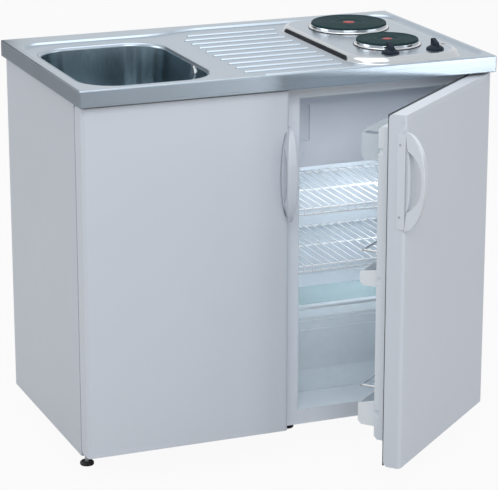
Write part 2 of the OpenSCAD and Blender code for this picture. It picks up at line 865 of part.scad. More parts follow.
// ---------- hinges ----------
// brackets above and below a door that turns on pins at x, with arms to the carcass on one side
module hinge_pair(x, arm_x, top_plate_z, front_leg) {
    arm_low = min(x - 7, arm_x);
    arm_high = max(x + 7, arm_x);
    low_z = door_z - 2 - hinge_t;
    color(steel) {
        difference() {
            union() {
                box([arm_low, pin_y - 7, top_plate_z], [arm_high, body_y + 24, top_plate_z + hinge_t]);
                rod_z(x, pin_y, door_top - pin_l, pin_r, top_plate_z - door_top + pin_l + hinge_t / 2);
                if (front_leg)
                    box([arm_low, body_y - hinge_t, top_plate_z - 20], [arm_high, body_y, top_plate_z + hinge_t]);
            }
            if (front_leg)
                box([arm_low - 1, body_y, top_plate_z - over], [arm_high + 1, body_y + 30, top_plate_z + 3]);
        }
        box([arm_low, pin_y - 7, low_z], [arm_high, body_y, low_z + hinge_t]);
        box([arm_low, body_y - hinge_t, base_z], [arm_high, body_y, low_z + hinge_t]);
        rod_z(x, pin_y, low_z, pin_r, door_z + pin_l - low_z);
    }
}

module cup_hinges() {
    hinge_pair(cup_pin_x, body_x + 34, door_top + 2, true);
}

module fridge_hinges() {
    hinge_pair(fridge_pin_x, fridge_right - 34, fridge_z, false);
}

// ---------- doors ----------
// outline of a door from x0 to x1 and t thick, shrunk by s
function door_outline(x0, x1, t, s) =
    concat(
        [[x1 - s, face_y + t - s], [x0 + s, face_y + t - s]],
        arc(x0 + door_r, face_y + door_r, door_r - s, 180, 270, 6),
        arc(x1 - door_r, face_y + door_r, door_r - s, 270, 360, 6)
    );

// caps that close a door's ends, round along the inner edge, with the bores for the door's pins;
// the outline of a door from x0 to x1 and t thick is handed in
module end_caps(pin_x, x0, x1, t) {
    round_y = face_y + t - cap_r;
    color(white) difference() {
        for (z = [door_z, door_top - cap_h]) translate([0, 0, z]) linear_extrude(cap_h) children();
        for (z = [[door_z - 1, door_z + cap_r], [door_top - cap_r, door_top + 1]])
            difference() {
                box([x0 - 1, round_y, z[0]], [x1 + 1, round_y + cap_r + 1, z[1]]);
                rod_x(x0 - 2, round_y, z[0] < door_z ? z[1] : z[0], cap_r, x1 - x0 + 4);
            }
        rod_z(pin_x, pin_y, door_z - 1, pin_r + pin_play, cap_h + 2);
        rod_z(pin_x, pin_y, door_top - cap_h - 1, pin_r + pin_play, cap_h + 2);
    }
}

// half-ellipse of the bow, and the hole that is left for the fingers, in Y and Z round the face
function bow_outline(out, half) =
    [for (i = [-12:12]) let (a = 7.5 * i) [-out * cos(a), half * sin(a)]];

function hole_outline(out, in, half, base = 3) =
    concat(
        [for (i = [-9:9]) let (a = 10 * i) [-base - (out - base) * cos(a), half * sin(a)]],
        [for (i = [8:-1:-8]) let (a = 10 * i) [-base - (in - base) * cos(a), half * sin(a)]]
    );

// the bow with its long edges rounded, as slices of shrinking outline
module bow(half) {
    soft = grip_soft;
    hull() for (m = [0, 1], e = [[0, soft * 0.75], [soft * 0.3, soft * 0.3], [soft * 0.9, 0]])
        along_x(m == 0 ? e[0] : grip_w - e[0] - 0.05, 0.05)
            polygon(bow_outline(grip_out - e[1], half - e[1]));
}

// front view of the bow: full width at its middle, running out towards its ends
function bow_front(half) =
    concat(
        [[-grip_lip - 1, half + 1], [-grip_lip - 1, -half - 1]],
        [for (i = [-12:12]) let (a = 7.5 * i) [grip_w * cos(a) - grip_lip, half * sin(a)]]
    );

// a bowed handle at a door's free edge, its strip wrapped round the door's long front edge
module handle(x, z) {
    half = grip_l / 2;
    color(white) translate([x, face_y, z]) {
        difference() {
            union() {
                intersection() {
                    translate([-grip_lip, 0, 0]) bow(half);
                    along_y(-grip_out - 1, grip_out + 2) polygon(bow_front(half));
                }
                translate([0, 0, 3 - half])
                    linear_extrude(2 * half - 6)
                        polygon(concat(
                            [[-grip_lip, 19], [-grip_lip, -0.5], [door_r + 1, -0.5], [door_r + 1, 0]],
                            arc(door_r, door_r, door_r, 270, 180, 6),
                            [[0, 19]]
                        ));
            }
            along_x(-grip_lip - 1, grip_w + 2)
                polygon(hole_outline(grip_out - bow_t, ridge_t, hole_l / 2));
            for (s = [-1, 1]) rod_x(-grip_lip - 1, 12, s * 80, 2.5, 1.6);
        }
    }
}

door_low = door_z + cap_h;
door_high = door_top - cap_h;

// the cupboard door: boxed sides, and a shallower pan between them that clears the bowl
module cup_outline(s) {
    side = 16;
    difference() {
        polygon(door_outline(body_x, cup_door_right, cup_door_t, s));
        translate([body_x + side - s, face_y + cup_pan_t - s])
            square([cup_door_right - body_x - 2 * side + 2 * s, cup_door_t]);
    }
}

module cup_door_skin() {
    color(white) difference() {
        translate([0, 0, door_low]) linear_extrude(door_high - door_low) cup_outline(0);
        translate([0, 0, door_low - over]) linear_extrude(door_high - door_low + 1) cup_outline(skin);
    }
}

module cup_door_caps() {
    end_caps(cup_pin_x, body_x, cup_door_right, cup_door_t) cup_outline(0);
}

module cup_handle() {
    translate([cup_door_right, 0, 0]) mirror([1, 0, 0]) handle(0, cup_grip_z);
}

module fridge_outline(s) {
    polygon(door_outline(fridge_door_x, fridge_right, fridge_door_t, s));
}

module fridge_door_skin() {
    color(white) opened() difference() {
        translate([0, 0, door_low]) linear_extrude(door_high - door_low) fridge_outline(0);
        translate([0, 0, door_low - over]) linear_extrude(door_high - door_low + 1) fridge_outline(skin);
        box([fridge_door_x + 18, face_y + fridge_door_t - 2 * skin, door_low - over],
            [fridge_right - 18, face_y + fridge_door_t + 1, door_high + over]);
    }
}

module fridge_door_foam() {
    color([0.93, 0.90, 0.78]) opened()
        translate([0, 0, door_low])
            linear_extrude(door_high - door_low)
                fridge_outline(skin);
}

module fridge_door_caps() {
    opened() end_caps(fridge_pin_x, fridge_door_x, fridge_right, fridge_door_t) fridge_outline(0);
}

module fridge_handle() {
    opened() handle(fridge_door_x, fridge_grip_z);
}

// ---------- inside of the refrigerator door ----------
inner_y = face_y + fridge_door_t;
dyke_x = room_x + 10;
dyke_right = room_right - 10;
dyke_z = room_z + 14;
dyke_top = room_top - 12;
dyke_w = 26;
dyke_head = 12;
dyke_y = inner_y + 46;
rack_x = dyke_x + 10;
rack_right = dyke_right - 10;
rack_y = inner_y + rack_d;
rack_wall = 2.5;

module fridge_door_liner() {
    edge = 20;
    color(liner_white) opened() difference() {
        union() {
            box([fridge_door_x + 8, inner_y, door_z + 8], [fridge_right - 8, inner_y + 2, door_top - 8]);
            difference() {
                along_x(dyke_x, dyke_right - dyke_x)
                    polygon([
                        [inner_y + 1, dyke_z], [dyke_y - 8, dyke_z], [dyke_y, dyke_z + 8],
                        [dyke_y, dyke_top - 8], [dyke_y - 8, dyke_top], [inner_y + 1, dyke_top]
                    ]);
                box([dyke_x + dyke_w, inner_y + 2, dyke_z + dyke_w],
                    [dyke_right - dyke_w, dyke_y + 1, dyke_top - dyke_head]);
            }
        }
        for (x = [dyke_x - 1, dyke_right - 9])
            for (z = rack_heights)
                box([x, dyke_y - 12, z], [x + 10, dyke_y + 1, z + 12]);
    }
}

egg_h = 60;
egg_z = dyke_top - dyke_head - egg_h - 10;
middle_z = 446;
middle_h = 38;
bottle_z = dyke_z + dyke_w + 1;
bottle_h = 60;
rack_heights = [egg_z + 20, middle_z + 14, bottle_z + 30];
rail_r = 3;

module door_gasket() {
    x0 = room_x - 14;
    x1 = room_right + 14;
    z0 = room_z - 12;
    z1 = room_top + 12;
    y0 = inner_y + 2;
    y1 = body_y - 0.8;
    w = 9;
    color([0.82, 0.84, 0.86]) opened() difference() {
        box([x0, y0, z0], [x1, y1, z1]);
        box([x0 + w, y0 - 1, z0 + w], [x1 - w, y1 + 1, z1 - w]);
        for (z = [z0, z1 - w])
            along_x(x0 - 1, x1 - x0 + 2)
                polygon([
                    [y0 + 3, z + 5 - w * (z == z0 ? 1 : -1)], [y0 + 6, z + w / 2], [y0 + 3, z + 4 - w * (z == z0 ? 1 : -1)]
                ]);
    }
}

// an open tray hung between the dykes, with small hooks in their notches
module rack(z, h, front_drop, clear) {
    color(clear) {
        difference() {
            union() {
                along_x(rack_x, rack_right - rack_x)
                    polygon([
                        [inner_y + 2, z], [rack_y - 8, z], [rack_y, z + 8], [rack_y, z + h - front_drop],
                        [dyke_y + 6, z + h], [inner_y + 2, z + h]
                    ]);
            }
            along_x(rack_x + rack_wall, rack_right - rack_x - 2 * rack_wall)
                polygon([
                    [inner_y + 2 + rack_wall, z + rack_wall], [rack_y - 9, z + rack_wall],
                    [rack_y - rack_wall, z + 9], [rack_y - rack_wall, z + h + 1],
                    [inner_y + 2 + rack_wall, z + h + 1]
                ]);
            box([dyke_x - 1, inner_y + 1, z - 1], [dyke_x + dyke_w, dyke_y, z + h + 1]);
            box([dyke_right - dyke_w, inner_y + 1, z - 1], [dyke_right + 1, dyke_y, z + h + 1]);
        }
    }
}

lid_play = 0.5;
lid_t = 2.5;
lid_y = dyke_y + 3;
lid_z = egg_z + egg_h + lid_play + lid_t / 2;
lid_pin_r = 1.5;

module egg_rack() {
    opened() {
        rack(egg_z, egg_h, 0, clear_blue);
        color(clear_blue) for (x = [dyke_x + dyke_w, dyke_right - dyke_w - rack_wall])
            difference() {
                box([x, inner_y + 2, egg_z + 4], [x + rack_wall, lid_y + 4, lid_z + 4]);
                rod_x(x - 1, lid_y, lid_z, lid_pin_r + pin_play, rack_wall + 2);
            }
    }
}

module egg_lid() {
    x0 = dyke_x + dyke_w + 6;
    x1 = dyke_right - dyke_w - 8;
    low = lid_z - lid_t / 2;
    color(clear_blue) opened() {
        along_x(x0, x1 - x0)
            polygon([
                [lid_y, low], [rack_y + 1, low], [rack_y + 1, low - 9], [rack_y + 3, low - 9],
                [rack_y + 3, low + lid_t], [lid_y, low + lid_t]
            ]);
        rod_x(x0, lid_y, lid_z, 2, x1 - x0);
        rod_x(dyke_x + dyke_w + 1, lid_y, lid_z, lid_pin_r, dyke_right - dyke_x - 2 * dyke_w - 2);
    }
}

module middle_rack() {
    opened() rack(middle_z, middle_h, 6, liner_white);
}

module bottle_rack() {
    opened() rack(bottle_z, bottle_h, 10, liner_white);
}

// round rails above the racks keep tall things upright
module rack_rails() {
    color([0.85, 0.87, 0.89]) opened()
        for (z = [middle_z + 80, bottle_z + 92]) {
            rod_x(rack_x + 2, rack_y - 6, z, rail_r, rack_right - rack_x - 4);
            for (x = [rack_x + 5, rack_right - 5])
                rod_y(x, dyke_y, z, rail_r, rack_y - 6 - dyke_y);
        }
}

// ---------- refrigerator ----------
// side view of the room inside, shrunk by s; it stands open at the front
function room_outline(s) = [
    [body_y - 1, room_z + s], [step_y - s, room_z + s], [step_y - s, step_z + s],
    [room_back - s, step_z + s], [room_back - s, room_top - s], [body_y - 1, room_top - s]
];

// outer form of the case with the niche for the compressor, shrunk by s
module case_form(s) {
    difference() {
        box([fridge_x + s, body_y + s, base_z + s], [fridge_right - s, fridge_back - s, fridge_z - s]);
        box([fridge_x + 14 - s, fridge_back - niche_d - s, base_z - 1],
            [fridge_right - 14 + s, fridge_back + 1, base_z + niche_h + s]);
    }
}

module fridge_case() {
    color(white) difference() {
        case_form(0);
        case_form(skin);
        along_x(room_x, room_right - room_x) polygon(room_outline(0));
    }
}

module case_foam() {
    color([0.93, 0.90, 0.78]) difference() {
        case_form(skin);
        along_x(room_x, room_right - room_x) polygon(room_outline(0));
    }
}

module ledge_pair(z) {
    for (x = [liner_x - over, liner_right - ledge])
        box([x, shelf_y - 6, z - 5], [x + ledge + over, liner_back - 1, z]);
}

module fridge_liner() {
    color(liner_white) difference() {
        union() {
            difference() {
                along_x(room_x, room_right - room_x) polygon(room_outline(0));
                along_x(liner_x, liner_right - liner_x) polygon(room_outline(liner_t));
            }
            for (z = [wire_high - wire_r, wire_low - wire_r]) ledge_pair(z);
            for (x = [liner_x - over, liner_right - ledge])
                box([x, shelf_y - 6, glass_z - 5], [x + ledge + over, step_y - liner_t - 1, glass_z]);
        }
        box([room_x - 1, body_y - 2, room_z - 1], [room_right + 1, body_y, room_top + 1]);
    }
}

pad_r = 10;

// rubber pads that carry the worktop over the refrigerator
module fridge_pads() {
    color(black) for (x = [fridge_x + 40, hob_x + hob_w + 14])
        for (y = [body_y + 40, fridge_back - 40])
            rod_z(x, y, fridge_z, pad_r, body_top + sheet - fridge_z);
}

// freezer compartment: an open box of sheet hung from the ceiling
box_x = liner_x + 4;
box_right = liner_right - 4;
box_y = shelf_y + flap_t + 3;
box_z = flap_z - 1;
box_top = flap_z + flap_h + 1;
box_back = liner_back - 30;
flap_pin_x = box_right - 10;
flap_pin_y = shelf_y + flap_t / 2;
flap_pin_r = 2.5;
lug_t = 4;

module freezer_box() {
    wall = 3;
    color([0.84, 0.90, 0.95]) {
        difference() {
            union() {
                box([box_x, box_y, box_z], [box_right, box_back, box_top]);
                for (z = [box_z - lug_t, box_top])
                    box([flap_pin_x - 8, shelf_y, z], [box_right, box_y + 12, z + lug_t]);
                box([box_x + 60, box_y + 40, box_top - 1], [box_x + 90, box_back - 20, room_top - liner_t]);
                box([box_right - 90, box_y + 40, box_top - 1], [box_right - 60, box_back - 20, room_top - liner_t]);
            }
            box([box_x + wall, box_y - 1, box_z + wall], [box_right - wall, box_back - wall, box_top - wall]);
            rod_z(flap_pin_x, flap_pin_y, box_z - lug_t - 1, flap_pin_r + pin_play, lug_t + 2);
            rod_z(flap_pin_x, flap_pin_y, box_top - 1, flap_pin_r + pin_play, lug_t + 2);
        }
    }
}

module freezer_flap() {
    x0 = liner_x + 4;
    grip_x = x0 + 34;
    color([0.80, 0.86, 0.92]) {
        difference() {
            union() {
                difference() {
                    box([x0, shelf_y, flap_z], [flap_pin_x + 6, shelf_y + flap_t, flap_z + flap_h]);
                    box([grip_x, shelf_y - 1, flap_z + 62], [grip_x + 26, shelf_y + 8, flap_z + 62 + 84]);
                }
                box([grip_x, shelf_y, flap_z + 62], [grip_x + 6, shelf_y + 3, flap_z + 62 + 84]);
            }
            box([x0 - 1, shelf_y + 3, flap_z - 1], [x0 + 3, shelf_y + flap_t + 1, flap_z + flap_h + 1]);
        }
        box([grip_x + 8, shelf_y - 1.5, flap_z + 26], [grip_x + 34, shelf_y, flap_z + 36]);
        rod_z(flap_pin_x, flap_pin_y, flap_z - lug_t - 0.5, flap_pin_r, flap_h + 2 * lug_t + 1);
    }
}

wire_r = 2.5;
cross_r = 1.6;

// rods across the room, joined at both ends; the front one has a second rod below it
module shelf_frames() {
    x0 = liner_x + 2;
    x1 = liner_right - 2;
    y0 = shelf_y + wire_r;
    y1 = liner_back - 6 - wire_r;
    color([0.93, 0.95, 0.97]) for (z = [wire_high, wire_low]) {
        for (y = [y0, (y0 + y1) / 2, y1]) rod_x(x0, y, z, wire_r, x1 - x0);
        for (x = [x0 + 8, x1 - 8]) rod_y(x, y0, z, wire_r - 0.3, y1 - y0);
        rod_x(x0, y0, z - 13, wire_r, x1 - x0);
        for (x = [x0 + 12, x1 - 12]) rod_z(x, y0, z - 13, wire_r - 0.3, 13);
    }
}

// thinner wires that lie over the rods and turn down in front
module shelf_wires() {
    $fn = 20;
    x0 = liner_x + 20;
    x1 = liner_right - 20;
    count = floor((x1 - x0) / wire_pitch);
    start = (x0 + x1 - count * wire_pitch) / 2;
    y0 = shelf_y - cross_r;
    color([0.93, 0.95, 0.97]) for (z = [wire_high, wire_low], i = [0:count]) {
        rod_y(start + i * wire_pitch, y0 - 1, z + wire_r + cross_r, cross_r, liner_back - 8 - y0);
        rod_z(start + i * wire_pitch, y0, z - 14, cross_r - 0.15, 14 + wire_r + cross_r + 0.9);
    }
}

glass_t = 4;

module glass_shelf() {
    color([0.70, 0.84, 0.88, 0.45])
        box([liner_x + 1, shelf_y + 10, glass_z], [liner_right - 1, step_y - liner_t - 1, glass_z + glass_t]);
}

module glass_trim() {
    color(liner_white) difference() {
        box([liner_x + 1, shelf_y - 2, glass_z], [liner_right - 1, shelf_y + 18, glass_z + glass_t + 3]);
        box([liner_x, shelf_y + 10, glass_z - 1], [liner_right, shelf_y + 30, glass_z + glass_t]);
    }
}

crisper_wall = 2.5;

module crisper() {
    x0 = liner_x + ledge + 2;
    x1 = liner_right - ledge - 6;
    y0 = shelf_y;
    y1 = step_y - liner_t - 4;
    z0 = room_z + liner_t + seat;
    z1 = z0 + crisper_h;
    w = crisper_wall;
    color(clear_blue) difference() {
        union() {
            along_x(x0, x1 - x0)
                polygon([[y0 + 14, z0], [y1, z0], [y1, z1], [y0 + 2, z1], [y0 + 2, z0 + 60]]);
            for (z = [z1 - 34, z1 - 12]) box([x0 + 6, y0 - 1, z], [x1 - 6, y0 + 4, z + 4]);
        }
        along_x(x0 + w, x1 - x0 - 2 * w)
            polygon([
                [y0 + 14 + w, z0 + w], [y1 - w, z0 + w], [y1 - w, z1 + 1], [y0 + 2 + w, z1 + 1], [y0 + 2 + w, z0 + 60]
            ]);
    }
}

housing_y = shelf_y + 60;
housing_z = 570;
dial_r = 17;

module lamp_housing() {
    color(liner_white) difference() {
        along_y(housing_y, 110)
            polygon([
                [liner_right, housing_z - 16], [liner_right - 26, housing_z - 10],
                [liner_right - 26, housing_z + 30], [liner_right, housing_z + 38]
            ]);
        rod_x(liner_right - 30, housing_y + 28, housing_z + 10, 3.05, 20);
        for (i = [0:4])
            box([liner_right - 27, housing_y + 60 + 9 * i, housing_z - 4],
                [liner_right - 22, housing_y + 64 + 9 * i, housing_z + 24]);
    }
}

module thermostat_dial() {
    color(liner_white) translate([liner_right - 26, housing_y + 28, housing_z + 10]) rotate([0, -90, 0]) {
        difference() {
            translate([0, 0, seat]) cylinder(r = dial_r, h = 10);
            for (i = [0:17]) rotate([0, 0, 20 * i]) translate([dial_r + 1, 0, 0]) cylinder(r = 2.2, h = 12);
        }
        translate([0, 0, -14]) cylinder(r = 3, h = 15);
        translate([-1.5, 4, 10]) cube([3, dial_r - 7, 1.6]);
    }
}

// ---------- cooling ----------
pump_x = fridge_x + 320;
pump_y = fridge_back - 82;
plate_z = base_z + 6;

module compressor_plate() {
    color([0.25, 0.26, 0.27]) difference() {
        box([fridge_x + 14, fridge_back - niche_d + 6, base_z], [fridge_right - 14, fridge_back, plate_z]);
        box([fridge_x + 30, fridge_back - niche_d + 16, base_z - 1],
            [fridge_right - 30, fridge_back - 12, plate_z - 2]);
    }
}

module compressor() {
    color(black) translate([pump_x, pump_y, plate_z]) {
        translate([0, 0, 12]) rotate_extrude()
            polygon([
                [0, 0], [52, 0], [64, 12], [66, 30], [66, 52], [69, 53], [69, 58], [66, 60],
                [62, 84], [48, 104], [26, 114], [0, 117]
            ]);
        difference() {
            translate([-64, -64, 10]) cube([128, 128, 3]);
            for (x = [-78, 78]) translate([x, 0, 9]) cylinder(r = 40, h = 5);
        }
        for (x = [-54, 54], y = [-54, 54]) translate([x, y, 0]) cylinder(r = 8, h = 11.5);
        translate([56, -18, 42]) cube([28, 36, 46]);
    }
}

module drip_pan() {
    color([0.20, 0.21, 0.22]) translate([fridge_x + 60, fridge_back - 140, plate_z]) difference() {
        cube([150, 110, 34]);
        translate([2, 2, 2]) cube([146, 106, 40]);
    }
}

tube_r = 2.4;
tube_pitch = 48;
grid_y = fridge_back + 14;

module condenser() {
    x0 = fridge_x + 50;
    x1 = fridge_right - 50;
    z0 = base_z + niche_h + 30;
    runs = floor((fridge_z - 30 - z0) / tube_pitch);
    r = tube_pitch / 2;
    color([0.10, 0.10, 0.11]) {
        for (i = [0:runs]) rod_x(x0 + r, grid_y, z0 + i * tube_pitch, tube_r, x1 - x0 - 2 * r);
        for (i = [0:runs - 1])
            translate([i % 2 == 0 ? x1 - r : x0 + r, grid_y, z0 + (i + 0.5) * tube_pitch])
                rotate([90, i % 2 == 0 ? 0 : 180, 0])
                    rotate([0, 0, -90])
                        rotate_extrude(angle = 180)
                            translate([r, 0]) circle(tube_r);
        for (x = [x0 + r + 10:30:x1 - r - 10])
            rod_z(x, grid_y - tube_r - 0.8, z0 - 12, 1, runs * tube_pitch + 24);
        for (x = [x0 + r + 2, x1 - r - 10], z = [z0, z0 + runs * tube_pitch])
            box([x, fridge_back, z - 5], [x + 8, grid_y, z + 5]);
    }
}

// ---------- feet ----------
feet_at = [
    [body_x + 28.5, body_y + 48], [body_x + 60, body_back - 34],
    [fridge_x + 53, body_y + 97], [fridge_right - 53, body_y + 97],
    [fridge_x + 34, fridge_back - 30], [fridge_right - 34, fridge_back - 30]
];

module foot_stems() {
    color(steel) for (p = feet_at) rod_z(p[0], p[1], foot_h, stem_r, base_z - foot_h);
}

module foot_pads() {
    color(black) for (p = feet_at)
        translate([p[0], p[1], 0])
            rotate_extrude()
                polygon([
                    [0, 0], [foot_r - 1, 0], [foot_r, 1.5], [foot_r, foot_h - 3], [foot_r - 3, foot_h], [0, foot_h]
                ]);
}

placed() worktop();
placed() support_board();
placed() sink_bowl();
placed() overflow_plate();
placed() overflow_hose();
placed() waste_flange();
placed() strainer_basket();
placed() waste_body();
placed() trap_cup();
placed() drain_pipe();
placed() hotplate_rear();
placed() hotplate_front();
placed() ring_rear();
placed() ring_front();
placed() plate_clamps();
placed() hob_tray();
placed() hob_switches();
placed() knob_left();
placed() knob_right();
placed() cable_gland();
placed() side_panel();
placed() partition();
placed() cupboard_floor();
placed() cupboard_back();
placed() door_magnet();
placed() cup_hinges();
placed() cup_door_skin();
placed() cup_door_caps();
placed() cup_handle();
placed() fridge_case();
placed() case_foam();
placed() fridge_liner();
placed() fridge_pads();
placed() fridge_hinges();
placed() freezer_box();
placed() freezer_flap();
placed() shelf_frames();
placed() shelf_wires();
placed() glass_shelf();
placed() glass_trim();
placed() crisper();
placed() lamp_housing();
placed() thermostat_dial();
placed() compressor();
placed() compressor_plate();
placed() condenser();
placed() drip_pan();
placed() fridge_door_skin();
placed() fridge_door_foam();
placed() fridge_door_caps();
placed() fridge_door_liner();
placed() door_gasket();
placed() fridge_handle();
placed() egg_rack();
placed() egg_lid();
placed() middle_rack();
placed() bottle_rack();
placed() rack_rails();
placed() foot_stems();
placed() foot_pads();
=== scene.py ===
# %% [markdown]
# # Dressing a kitchenette unit
# The solid model already has every piece in its place and every hinge. This notebook gives the pieces the
# looks of the real ones: pressed and brushed steel, white enamel, moulded plastic and blackened iron.
# A few pieces are modelled again here, because a press or a mould leaves soft forms that a solid modeller
# draws as sharp ones. Everything else keeps its solid, and modifiers soften the edges that would look too
# sharp.

# %% Open the model
import math

import bmesh
import bpy
from mathutils import Matrix, Vector


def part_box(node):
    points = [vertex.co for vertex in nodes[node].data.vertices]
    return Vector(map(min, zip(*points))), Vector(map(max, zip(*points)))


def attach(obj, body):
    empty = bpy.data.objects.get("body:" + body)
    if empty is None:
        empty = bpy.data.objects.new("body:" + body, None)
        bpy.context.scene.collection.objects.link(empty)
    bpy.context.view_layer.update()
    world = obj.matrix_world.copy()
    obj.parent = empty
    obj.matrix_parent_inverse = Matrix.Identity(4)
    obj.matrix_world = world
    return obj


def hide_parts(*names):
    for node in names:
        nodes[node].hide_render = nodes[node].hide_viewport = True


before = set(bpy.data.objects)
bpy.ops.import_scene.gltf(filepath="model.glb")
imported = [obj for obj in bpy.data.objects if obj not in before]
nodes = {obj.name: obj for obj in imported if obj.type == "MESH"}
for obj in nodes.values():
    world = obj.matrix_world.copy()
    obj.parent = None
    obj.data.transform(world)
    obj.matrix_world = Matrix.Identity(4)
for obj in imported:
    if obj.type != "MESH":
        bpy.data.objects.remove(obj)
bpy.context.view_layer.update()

# %% [markdown]
# Kitchens are drawn in millimetres from the middle of the worktop on the floor, and the model is stored in
# metres from the middle of the whole unit with its door open. One small function changes from one to the
# other, so that every number below can be read off a kitchen drawing. Pieces of the refrigerator door are
# drawn with the door shut, and a turn about its hinge swings them to where the open door is.

# %% Places in millimetres
SHIFT_Y = 163.589
DOOR_PIN = (484.0, -262.0)
DOOR_ANGLE = math.radians(41)
pin = Matrix.Translation((*DOOR_PIN, 0))
door_swing = pin @ Matrix.Rotation(DOOR_ANGLE, 4, "Z") @ pin.inverted()


def at(x, y, z):
    return Vector((x, y + SHIFT_Y, z)) / 1000


print("the hinge of the open door is at", tuple(at(*DOOR_PIN, 0)))

# %% [markdown]
# The photograph was taken from some five metres away, to the left of the unit and well above the worktop, with
# a long lens. Its upright edges are parallel, as a view camera with a lowered lens makes them. That much shift
# would push the unit out of every other view, so this camera has none and looks down a little instead: place,
# turn, tilt and lens are the ones that bring the corners closest to where the photograph has them.

# %% Camera
PICTURE_WIDE = 498
LENS_IN_PIXELS = 2309.0
CAMERA_TILT = 0.2877
CAMERA_TURN = -0.3843
lens_data = bpy.data.cameras.new("long_lens")
lens_data.sensor_width = 36
lens_data.lens = LENS_IN_PIXELS / PICTURE_WIDE * lens_data.sensor_width
lens_data.clip_end = 60
camera = bpy.data.objects.new("camera", lens_data)
bpy.context.collection.objects.link(camera)
camera.location = at(-1965.5, -4886.5, 1980.9)
camera.rotation_mode = "XYZ"
camera.rotation_euler = (math.pi / 2 - CAMERA_TILT, 0, CAMERA_TURN)
bpy.context.scene.camera = camera
print("lens", round(lens_data.lens), "mm")

# %% [markdown]
# Light and finishes are built from nodes, and a finish is mostly sums. Written as node links a sum is hard to
# read, so a small class wraps a socket and lets Python's own signs build the Math nodes. One method makes any
# other node from its kind, its settings and what goes into its sockets.

# %% Sums with sockets
class Wire:
    def __init__(self, tree, out=None):
        self.tree = tree
        self.out = out

    def plug(self, socket, value):
        if isinstance(value, Wire):
            self.tree.links.new(value.out, socket)
        else:
            socket.default_value = value

    def node(self, kind, settings=None, sockets=None, out=0):
        node = self.tree.nodes.new(kind)
        for key, value in (settings or {}).items():
            setattr(node, key, value)
        for key, value in (sockets or {}).items():
            self.plug(node.inputs[key], value)
        return Wire(self.tree, node.outputs[out])

    def math(self, operation, *values):
        return self.node("ShaderNodeMath", {"operation": operation}, dict(enumerate(values)))

    def __add__(self, other):
        return self.math("ADD", self, other)

    def __sub__(self, other):
        return self.math("SUBTRACT", self, other)

    def __rsub__(self, other):
        return self.math("SUBTRACT", other, self)

    def __mul__(self, other):
        return self.math("MULTIPLY", self, other)

    __radd__ = __add__
    __rmul__ = __mul__


print("sockets can be added")

# %% [markdown]
# Product photographs are made in a white cove. The world is plain white for the camera and for reflections,
# and half as bright for the light it gives, so that white enamel still shows its form. A brighter lamp would
# whiten the background too, but it would wash out the object. The Light Path node tells the rays apart.

# %% White world
WORLD_LIGHT = 0.5
scene = bpy.context.scene
scene.view_settings.view_transform = "Standard"
world = bpy.data.worlds.new("cove")
scene.world = world
world.use_nodes = True
background = world.node_tree.nodes["Background"]
background.inputs["Color"].default_value = (1, 1, 1, 1)
sky = Wire(world.node_tree)
seen = sky.node("ShaderNodeLightPath", out="Is Camera Ray")
for ray in ("Is Glossy Ray", "Is Transmission Ray"):
    seen = seen.math("MAXIMUM", seen, sky.node("ShaderNodeLightPath", out=ray))
sky.plug(background.inputs["Strength"], seen * (1 - WORLD_LIGHT) + WORLD_LIGHT)
print("world", world.name)

# %% [markdown]
# The lamps are large, because a large lamp gives soft shadows and broad reflections. The strongest stands in
# front and above. The others shine from the right, from above, from the left and from low in front on the
# right, so that no side of the unit is left dark.

# %% Soft lamps
def soft_lamp(name, place, target, size, power):
    data = bpy.data.lights.new(name, "AREA")
    data.shape = "RECTANGLE"
    data.size, data.size_y = size
    data.energy = power
    lamp = bpy.data.objects.new(name, data)
    bpy.context.collection.objects.link(lamp)
    lamp.location = place
    lamp.rotation_euler = (target - place).to_track_quat("-Z", "Y").to_euler()
    lamp.visible_camera = False


unit_middle = at(0, 0, 500)
soft_lamp("key", at(-900, -3400, 2900), unit_middle, (2.6, 1.8), 60)
soft_lamp("fill", at(3600, -2600, 1800), unit_middle, (2.4, 2.4), 26)
soft_lamp("top", at(0, 400, 3400), unit_middle, (2.5, 2.0), 26)
soft_lamp("left", at(-3600, 1000, 1700), unit_middle, (2.0, 2.0), 38)
soft_lamp("low_strip", at(2500, -4400, 150), at(400, -300, 800), (0.8, 0.4), 17)
print("five soft lamps")

# %% [markdown]
# The refrigerator has a lamp of its own, and it is on because the door is open. A small soft lamp stands
# where its bulb is. Two more lie under the freezer and under the glass shelf, where the white walls throw the
# light back. All three stay inside the case, so that the closed door hides them.

# %% Light in the refrigerator
soft_lamp("bulb", at(398, -70, 585), at(200, 60, 420), (0.07, 0.10), 0.45)
soft_lamp("wall_glow", at(250, -60, 630), at(250, 0, 100), (0.34, 0.2), 0.46)
soft_lamp("drawer_glow", at(250, -60, 284), at(250, -60, 100), (0.34, 0.1), 0.2)
print("the refrigerator is lit")

# %% [markdown]
# A finish on metal or plastic is a recipe of numbers that vary over the surface. Each one starts here with its
# plain colour, roughness and share of metal, and the cells below then vary them with noise. The patterns are
# laid out by the object's own coordinates, so that they stay on a piece when its joint moves.

